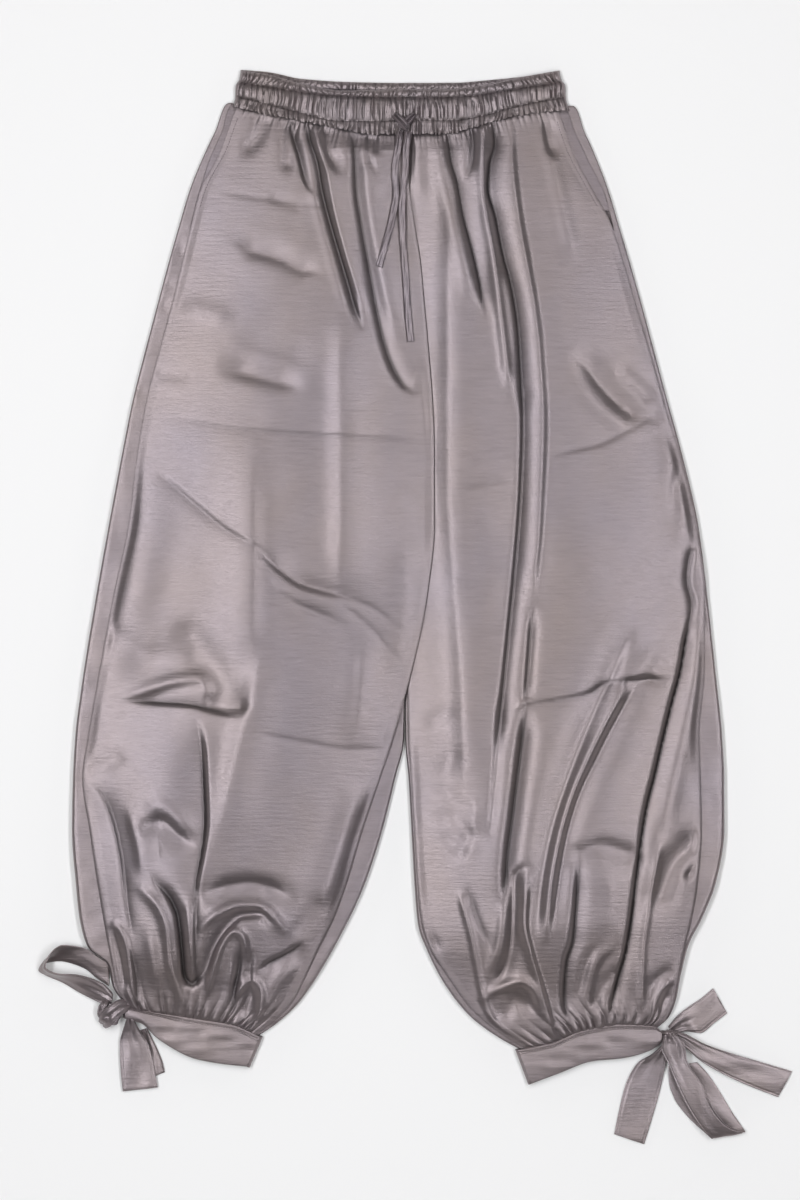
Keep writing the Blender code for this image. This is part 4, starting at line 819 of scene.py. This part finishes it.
def band_piece(name, table, lines, under, top, puff, wave, seed):
    """A gathered casing: ruffles between stitched lines, rolled over at its upper edge."""
    share = np.linspace(0, 1, BAND_STEPS)
    at = table[0][0] + BAND_LENGTH * share
    levels = [band_line(table, line, at) for line in lines]
    down, height, painted_shade = [], [], []
    for angle in np.linspace(math.pi, math.pi / 2, 5)[:-1]:
        down.append(levels[0] + 1.0 + 1.0 * math.cos(angle))
        height.append(top - 2.0 + 2.0 * math.sin(angle) + 0 * at)
        painted_shade.append(0 * at)
    down.insert(0, levels[0] + 1.0)
    height.insert(0, under + 0 * at)
    painted_shade.insert(0, 0 * at)
    last = len(levels) - 2
    for k in range(len(levels) - 1):
        steps = 16 if k == 1 else 12
        for s in np.linspace(0, 1, steps + 1)[: steps + (k == last)]:
            start = levels[k] + (1.0 if k == 0 else 0.0)
            rise = math.sin(math.pi * s) ** 0.6 if not (k == last and last > 0) else s ** 0.5
            lean = 9.0 * s + 30.0 * k + 0 * share
            lean = 0.0075 * lattice(share * BAND_LENGTH, lean, 9.0, seed + 20)
            coarse = gathers(np.clip(share + lean, 0, 1), 58 + 4 * k, seed + k, 0.25)[0]
            fine = gathers(np.clip(share - lean * 1.4, 0, 1), 96, seed + 10 + k, 0.2)[0]
            ridge = 0.8 * coarse + 0.3 * fine - 0.4
            body = start + (levels[k + 1] - start) * s
            if k == last:
                body = body + (2.6 * (coarse - 0.4)) * s
            down.append(body)
            height.append(top + puff * rise + wave * ridge * (0.35 + 0.65 * rise))
            # Painted shade: darker in the valleys between the gathers and where each ruffle dips to its
            # stitched line
            sewn = 0.28 * (1 - rise) if k or s > 0.5 else 0.0
            painted_shade.append(np.clip(BAND_PAINTED_SHADE * (1 - 2.6 * coarse) + sewn, 0.0, 0.8))
    y, z = np.array(down), np.array(height)
    ends = curve([e[0] for e in BAND_ENDS], [[e[1], e[2]] for e in BAND_ENDS], y.ravel())
    left, right = ends[:, 0].reshape(y.shape), ends[:, 1].reshape(y.shape)
    x = left + (right - left) * share
    z = z + 0.5 * lattice(x, y, 7.0, seed + 31)
    from_end = np.minimum(x - left, right - x)
    drop = 1 - np.sqrt(np.clip(1 - np.maximum(1 - from_end / 4.5, 0.0) ** 2, 0, 1))
    z = z - drop * (z - 0.6)
    return surface(name, x, y, z, painted_shade=np.array(painted_shade))


def stitch_row(name, line):
    """Short raised stitches along a line of board places (x, y, z)."""
    line = np.array(line, float)
    length = np.concatenate([[0.0], np.cumsum(np.linalg.norm(np.diff(line, axis=0), axis=1))])
    at = np.arange(STITCH_PITCH, length[-1] - STITCH_PITCH, STITCH_PITCH)
    middle = np.stack([np.interp(at, length, line[:, i]) for i in range(3)], axis=1)
    ahead = np.stack([np.interp(at + 0.5, length, line[:, i]) for i in range(3)], axis=1)
    way = (ahead - middle) / np.linalg.norm(ahead - middle, axis=1)[:, None]
    aside = np.stack([-way[:, 1], way[:, 0], 0 * at], axis=1) * STITCH_WIDTH / 2
    way = way * STITCH_LENGTH / 2
    rise = np.array([0.0, 0.0, STITCH_RISE])
    low = [middle - way - aside, middle + way - aside, middle + way + aside, middle - way + aside]
    high = [middle + (corner - middle) * 0.7 + rise for corner in low]
    points = np.stack(low + high, axis=1).reshape(-1, 3)
    box = np.array([(4, 5, 6, 7), (0, 1, 5, 4), (1, 2, 6, 5), (2, 3, 7, 6), (3, 0, 4, 7)])
    faces = (np.arange(len(at))[:, None, None] * 8 + box).reshape(-1, 4)
    mesh = bpy.data.meshes.new(name)
    mesh.from_pydata(to_metres(*points.T).tolist(), [], faces.tolist())
    mesh.shade_flat()
    return placed(name, mesh)


def cuff_piece(name, lines, seed):
    """A flattened tube with a stitched upper seam, and the line that the stitches follow."""
    upper, lower = np.array(lines["upper"], float), np.array(lines["lower"], float)
    across = CUFF_STEPS
    inset = CUFF_HEIGHT * 0.35
    half = CUFF_HEIGHT / 2
    # Once round the tube: over the top, round one end, back below and round the other end
    share, reach, high = [], [], []
    for side, turn in ((1, 0.0), (0, -math.pi)):
        share += list(np.linspace(1 - side, side, across))
        reach += [0.0] * across
        high += [CUFF_HEIGHT * side] * across
        for angle in np.linspace(math.pi / 2, -math.pi / 2, CUFF_ARC)[1:-1] + turn:
            share.append(side)
            reach.append(inset * math.cos(angle))
            high.append(half + half * math.sin(angle))
    share, reach, high = np.array(share, float), np.array(reach), np.array(high)
    knots = np.linspace(0, 1, len(upper))
    a, b = curve(knots, upper, share), curve(knots, lower, share)
    x, y, z = [], [], []
    for down in np.linspace(0, 1, CUFF_ROWS):
        left, right = (upper[i] * (1 - down) + lower[i] * down for i in (0, -1))
        ends = right - left
        direction = ends / np.hypot(*ends)
        spot = a * (1 - down) + b * down + direction * (reach - inset * (2 * share - 1))[:, None]
        face = high > CUFF_HEIGHT - 0.01
        roll = 1 - math.sqrt(max(0.0, 1 - max(0.0, 1 - down / 0.03, (down - 0.97) / 0.03) ** 2))
        groove = math.exp(-((down - 0.075) / 0.016) ** 2)
        groove += 0.6 * math.exp(-((down - 0.14) / 0.012) ** 2)
        swell = 1.4 * math.sin(math.pi * down) ** 0.7
        lump = 0.8 * lattice(spot[:, 0] * 0.5, spot[:, 1] * 1.6, 14.0, seed)
        lump = lump + 0.25 * lattice(spot[:, 0], spot[:, 1], 8.0, seed + 1)
        x.append(spot[:, 0])
        y.append(spot[:, 1])
        rise = swell + lump * math.sin(math.pi * down) - 0.5 * groove - 1.6 * roll
        z.append(high + np.where(face, rise, 0.0))
    x, y, z = np.array(x), np.array(y), np.array(z)
    sewn = np.stack([line[CUFF_STITCH_ROW, 2:across - 2] for line in (x, y, z)], axis=1)
    return surface(name, x, y, z, closed=True), sewn


def strip_mesh(name, rows, thickness, pinch, seed):
    """A strip of doubled cloth through its two edges, pleated where it is drawn together."""
    table = np.array(rows, float)
    steps = 12 * (len(table) - 1) + 1
    line = curve(np.arange(len(table)), table, np.linspace(0, len(table) - 1, steps))
    a, b = line[:, :3], line[:, 3:]
    middle = (a + b) / 2
    along = np.gradient(middle, axis=0)
    length = np.concatenate([[0.0], np.cumsum(np.linalg.norm(np.diff(middle, axis=0), axis=1))])
    normal = np.cross(b - a, along)
    normal /= np.linalg.norm(normal, axis=1)[:, None]
    if normal[0, 2] < 0:
        normal = -normal
    rng = np.random.default_rng(seed)
    phases = rng.uniform(0, 6.28, 3)
    angle = np.linspace(0, 2 * math.pi, 52, endpoint=False)
    c, s = np.cos(angle), np.sin(angle)
    u = 0.5 + 0.5 * np.sign(c) * np.abs(c) ** 0.8
    thick = np.sign(s) * np.abs(s) ** 0.45 * thickness / 2
    drawn = np.exp(-(length / pinch) ** 1.3)[:, None]
    pleats = 1.1 * np.sin(2 * math.pi * 2.2 * u + phases[0]) * np.sin(math.pi * u)
    waves = 0.5 * np.sin(2 * math.pi * (0.8 * u + length[:, None] / 58.0) + phases[1])
    lift = (pleats * (0.1 + 0.9 * drawn) + waves) * np.sin(math.pi * u) ** 0.5
    ends = np.minimum(length, length[-1] - length)[:, None]
    thin = np.clip(ends / 0.8, 0.25, 1.0) ** 0.5
    from_side = np.minimum(u, 1 - u)
    hem = HEM_DEPTH * np.exp(-((from_side - HEM_PLACE) / HEM_WIDTH) ** 2) * (s > 0)
    offset = thick * thin + lift - hem
    points = a[:, None, :] * (1 - u)[None, :, None] + b[:, None, :] * u[None, :, None]
    points = points + normal[:, None, :] * offset[..., None]
    lowest = 0.15 + 0.2 * (thick[None, :] + thickness / 2)
    z = np.maximum(points[..., 2], lowest)
    piece = surface(name, points[..., 0], points[..., 1], z, closed=True)
    mesh = piece.data
    columns = len(angle)
    bm = bmesh.new()
    bm.from_mesh(mesh)
    bm.verts.ensure_lookup_table()
    for start in (0, len(bm.verts) - columns):
        ring = [bm.verts[start + i] for i in range(columns)]
        bm.faces.new(ring if start else ring[::-1])
    bmesh.ops.recalc_face_normals(bm, faces=bm.faces[:])
    bm.to_mesh(mesh)
    bm.free()
    mesh.shade_smooth()
    mesh.set_sharp_from_angle(angle=math.radians(CRISP_ANGLE))
    return piece


def ball(name, centre, half_sizes, turn):
    """The heart of a knot, pinched into pleats."""
    angle = np.linspace(0, 2 * math.pi, 40, endpoint=False)
    tilt = np.linspace(-math.pi / 2, math.pi / 2, 22)[:, None]
    reach = np.cos(tilt) * (1 - 0.07 * np.cos(7 * angle))
    px, py = reach * np.cos(angle) * half_sizes[0], reach * np.sin(angle) * half_sizes[1]
    c, s = math.cos(math.radians(turn)), math.sin(math.radians(turn))
    x, y = centre[0] + c * px - s * py, centre[1] + s * px + c * py
    z = centre[2] + np.sin(tilt) * half_sizes[2] + 0 * angle
    return surface(name, x, y, z, closed=True)


# Camera, straight above the board's centre
camera = placed("camera", bpy.data.cameras.new("camera"))
camera.data.lens = 36.0 * CAMERA_HEIGHT / BOARD_LONG
camera.location = (
    (BOARD_CENTRE[0] - MIDDLE_X) * MM, (MIDDLE_Y - BOARD_CENTRE[1]) * MM, CAMERA_HEIGHT)
bpy.context.scene.camera = camera


# How the satin's tone wanders between cooler and warmer places
COOL_TINT = (0.97, 0.99, 1.06)
WARM_TINT = (1.03, 1.0, 0.95)


def fill(node, sockets):
    """Set a node's sockets to values, or link them to the outputs that are given instead."""
    for name, value in sockets.items():
        if isinstance(value, bpy.types.NodeSocket):
            node.id_data.links.new(value, node.inputs[name])
        else:
            node.inputs[name].default_value = value
    return node


def add(tree, kind, sockets=None, **settings):
    """A new shader node with its settings and its sockets."""
    node = tree.nodes.new(kind)
    for name, value in settings.items():
        setattr(node, name, value)
    return fill(node, sockets or {})


def satin(name, colour, roughness=0.37):
    """Satin with a fine slubby grain across the cloth, in soft uneven tones.

    Its colour is darkened by painted shade, which the mesh carries in an attribute for the valleys of folds
    and gathers.
    """
    material = bpy.data.materials.new(name)
    material.use_nodes = True
    tree = material.node_tree
    place = add(tree, "ShaderNodeTexCoord").outputs["Object"]

    def noise(scale, detail):
        stretched = add(tree, "ShaderNodeMapping", {"Vector": place, "Scale": scale})
        texture = add(tree, "ShaderNodeTexNoise", {
            "Vector": stretched.outputs["Vector"], "Scale": 1.0, "Detail": detail})
        return texture.outputs["Fac"]

    def ramp(value, low, high):
        node = add(tree, "ShaderNodeMapRange", {"Value": value, "To Min": low, "To Max": high})
        return node.outputs["Result"]

    slub = noise((45.0, 420.0, 45.0), 4.0)
    broad = noise((11.0, 7.0, 11.0), 3.0)
    weave = noise((260.0, 2400.0, 260.0), 2.0)
    cool, warm = ((*(c * t for c, t in zip(colour, tint)), 1) for tint in (COOL_TINT, WARM_TINT))
    mixed = add(tree, "ShaderNodeMix", {
        "Factor": ramp(broad, -0.4, 1.4), "A": cool, "B": warm}, data_type="RGBA")
    # Painted shade: the valley darkening kept on the mesh, multiplied with the grain into the colour's
    # value
    painted_shade = add(tree, "ShaderNodeAttribute", attribute_name="painted_shade").outputs["Fac"]
    light = add(tree, "ShaderNodeMath", {
        0: ramp(slub, 0.86, 1.14), 1: ramp(painted_shade, 1.0, 1.0 - CREASE_SHADE_DARKNESS)}, operation="MULTIPLY")
    tone = add(tree, "ShaderNodeHueSaturation", {
        "Color": mixed.outputs["Result"], "Value": light.outputs["Value"]})
    fine = add(tree, "ShaderNodeBump", {
        "Height": weave, "Strength": 0.35, "Distance": 0.0004})
    grain = add(tree, "ShaderNodeBump", {
        "Height": slub, "Strength": 0.25, "Distance": 0.001, "Normal": fine.outputs["Normal"]})
    fill(tree.nodes["Principled BSDF"], {
        "Base Color": tone.outputs["Color"],
        "Roughness": ramp(slub, roughness - 0.06, roughness + 0.08),
        "Normal": grain.outputs["Normal"],
        "Metallic": 0.8, "Specular IOR Level": 0.5, "Sheen Weight": 0.14, "Sheen Roughness": 0.4})
    return material


PANEL_COLOUR = (0.2, 0.17, 0.174)
BAND_COLOUR = (0.222, 0.189, 0.192)
SHADED_COLOUR = (0.175, 0.149, 0.157)
THREAD_COLOUR = (0.13, 0.108, 0.112)
materials = {
    "satin_panel": satin("satin_panel", PANEL_COLOUR),
    "satin_band": satin("satin_band", BAND_COLOUR),
    "satin_tie": satin("satin_tie", BAND_COLOUR),
    "satin_drawstring": satin("satin_drawstring", SHADED_COLOUR),
    "thread": satin("thread", THREAD_COLOUR, 0.5),
    "satin_facing": satin("satin_facing", SHADED_COLOUR),
}


def dress(piece, slot, node, material=None):
    """Give a piece its satin, named by the slot or by `material`, hang it on the root body, hide its CAD
    part.
    """
    piece.data.materials.clear()
    piece.data.materials.append(materials[material or slot])
    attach(piece, "root")
    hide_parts(node)
    return piece


FRONT_LEGS = ((RIGHT_LEG, RIGHT_FOLDS), (LEFT_LEG, LEFT_FOLDS))


def fronts_below(x, y):
    """Highest place of either front at board places x, y, as arrays."""
    highest = np.zeros(len(x))
    v = np.linspace(0.2, 7.0, 500)
    for leg, folds in FRONT_LEGS:
        row = leg_rows(leg, v)
        span = np.hypot(row["edge_x"] - row["front_x"], row["edge_y"] - row["front_y"])
        distance = span - np.linspace(0, 60, 61)
        px, py, pz = front_point(leg, folds, v, distance)[:3]
        for i in range(len(x)):
            near = (np.abs(px - x[i]) < 5.0) & (np.abs(py - y[i]) < 5.0)
            if near.any():
                highest[i] = max(highest[i], pz[near].max())
    return highest


# Drawstring ends: they lie on the fronts, one over the other near the top
for string, route in STRINGS.items():
    route = np.array(route, float)
    steps = 14 * (len(route) - 1) + 1
    line = curve(np.arange(len(route)), route, np.linspace(0, len(route) - 1, steps))
    below = fronts_below(line[:, 0], line[:, 1])
    below = np.where(line[:, 1] < BAND_EDGE, np.maximum(below, BAND_TOP), below)
    raised = STRING_RISE[string] * (1 - smooth(line[:, 1], STRING_PARTING - 30, STRING_PARTING))
    height = below + STRING_CLEARANCE + raised
    kernel = np.hanning(17) / np.hanning(17).sum()
    height = np.convolve(np.pad(height, len(kernel) // 2, mode="edge"), kernel, mode="valid")
    way = np.gradient(line, axis=0)
    way /= np.hypot(way[:, 0], way[:, 1])[:, None]
    aside = np.stack([way[:, 1], -way[:, 0]], axis=1) * STRING_WIDTH / 2
    rows = np.column_stack([line - aside, height, line + aside, height])
    piece = strip_mesh(string + "_cloth", rows[::3], STRING_THICKNESS, STRING_PINCH, 7)
    dress(piece, "satin_drawstring", string)

# Panels, facings and waistband
front_right = dress(
    front_piece("trousers_front_right", RIGHT_LEG, RIGHT_FOLDS, RIGHT_CUFF, 40),
    "satin_panel", "front_leg_right")
front_left = dress(
    front_piece("trousers_front_left", LEFT_LEG, LEFT_FOLDS, LEFT_CUFF, 60),
    "satin_panel", "front_leg_left")
back_right = dress(back_piece("trousers_back_right", RIGHT_LEG, 1), "satin_panel", "back_leg_right")
back_left = dress(back_piece("trousers_back_left", LEFT_LEG, -1), "satin_panel", "back_leg_left")
facing_right = dress(
    facing_piece("pocket_inside_right", RIGHT_LEG), "satin_facing", "pocket_facing_right")
facing_left = dress(
    facing_piece("pocket_inside_left", LEFT_LEG), "satin_facing", "pocket_facing_left")
band_front = dress(
    band_piece("waist_casing_front", BAND_FRONT, BAND_COLUMNS[1:], 5.8, 7.2, 1.9, 2.7, 80),
    "satin_band", "waistband_front")
band_back = dress(
    band_piece("waist_casing_back", BAND_BACK, ("top", "upper_stitch", "lower"),
               0.4, 3.0, 1.3, 1.8, 90),
    "satin_band", "waistband_back")
cuff_r, sewn_right = cuff_piece("cuff_band_right", RIGHT_CUFF, 100)
cuff_l, sewn_left = cuff_piece("cuff_band_left", LEFT_CUFF, 110)
dress(cuff_r, "satin_band", "cuff_right")
dress(cuff_l, "satin_band", "cuff_left")

# Rows of stitches: along the cuffs' seams and beside the pocket mouths
seams = {"cuff_right": (sewn_right, "satin_band"), "cuff_left": (sewn_left, "satin_band")}
for node, (leg, folds) in zip(("front_leg_right", "front_leg_left"), FRONT_LEGS):
    beside_mouth = np.linspace(0.35, 2.55, 120)
    points = front_point(leg, folds, beside_mouth, np.full((120, 1), POCKET_STITCH_INSET))[:3]
    seams[node] = (np.column_stack(points), "satin_panel")
for node, (line, slot) in seams.items():
    dress(stitch_row(node + "_stitches", line), slot, node, "thread")

for number, (tie, rows) in enumerate(TIES.items()):
    piece = strip_mesh(tie + "_cloth", rows, TIE_THICKNESS, TIE_PINCH, 120 + number)
    dress(piece, "satin_tie", tie)

for knot, (centre, half_sizes, turn) in KNOTS.items():
    smaller = tuple(size * HEART_SHARE for size in half_sizes)
    parts = [ball(knot + "_heart", centre, smaller, turn)]
    for number, rows in enumerate(WRAPS[knot]):
        wrap = strip_mesh(knot + "_wrap", rows, WRAP_THICKNESS, WRAP_PINCH, 140 + number)
        parts.append(wrap)
    slot = "satin_drawstring" if knot == "drawstring_knot" else "satin_tie"
    dress(join(knot + "_wraps", parts), slot, knot)

# Floor and soft studio light
FLOOR_REACH = 20.0
FLOOR_PLACE = -0.0006
FLOOR_COLOUR = (0.88, 0.875, 0.87, 1)
COOL = (0.96, 0.975, 1.0)
WARM = (1.0, 0.97, 0.94)
# Each light's name, place, size along the board and across it (across it and along it for
# the near and far ones), power and colour
LIGHTS = (
    ("left_light", (-1.35, 0.1, 3.3), (2.6, 0.5), 68, COOL),
    ("right_light", (1.35, 0.0, 3.3), (2.6, 0.5), 52, COOL),
    ("near_light", (0.0, -1.9, 3.1), (2.4, 0.7), 6, WARM),
    ("far_light", (0.0, 1.9, 3.1), (2.4, 0.7), 14, WARM),
    ("top_light", (0.0, 0.0, 4.6), (2.2, 1.3), 7, WARM),
)
# The surroundings are bright below one height of the sky and dim above another
SKY_COLOUR = (1.0, 0.97, 0.95, 1)
SKY = {"From Min": 0.15, "From Max": 0.46, "To Min": 1.1, "To Max": 0.02}

corners = [(-FLOOR_REACH, -FLOOR_REACH), (FLOOR_REACH, -FLOOR_REACH),
           (FLOOR_REACH, FLOOR_REACH), (-FLOOR_REACH, FLOOR_REACH)]
floor = placed("floor", bpy.data.meshes.new("floor"))
floor.data.from_pydata([(x, y, FLOOR_PLACE) for x, y in corners], [], [(0, 1, 2, 3)])
pale = bpy.data.materials.new("pale_floor")
pale.use_nodes = True
fill(pale.node_tree.nodes["Principled BSDF"], {"Base Color": FLOOR_COLOUR, "Roughness": 0.9})
floor.data.materials.append(pale)
floor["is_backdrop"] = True

for name, place, size, power, colour in LIGHTS:
    light = bpy.data.lights.new(name, "AREA")
    light.shape = "RECTANGLE"
    light.size, light.size_y = size
    light.energy = power
    light.color = colour
    lamp = placed(name, light)
    lamp.location = place
    # Each light faces the origin
    towards = -np.array(place)
    lamp.rotation_euler = (
        math.atan2(math.hypot(towards[0], towards[1]), -towards[2]), 0,
        math.atan2(towards[1], towards[0]) - math.pi / 2)

world = bpy.data.worlds.new("studio")
world.use_nodes = True
tree = world.node_tree
around = add(tree, "ShaderNodeTexCoord").outputs["Generated"]
split = add(tree, "ShaderNodeSeparateXYZ", {"Vector": around})
strength = add(tree, "ShaderNodeMapRange", {"Value": split.outputs["Z"], **SKY})
fill(tree.nodes["Background"], {"Color": SKY_COLOUR, "Strength": strength.outputs["Result"]})
bpy.context.scene.view_settings.view_transform = "Standard"
bpy.context.scene.world = world

# Looks up which knot two of the ties belong to; the ties' cuts are not used further
for tie, cut in TIE_CUTS.items():
    knot = {"tie_right_tail": "tie_right_knot", "tie_left_loop": "tie_left_knot"}.get(tie)

size = {"cad": [list(corner) for corner in cad_box], "visual": [list(corner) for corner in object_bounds()]}
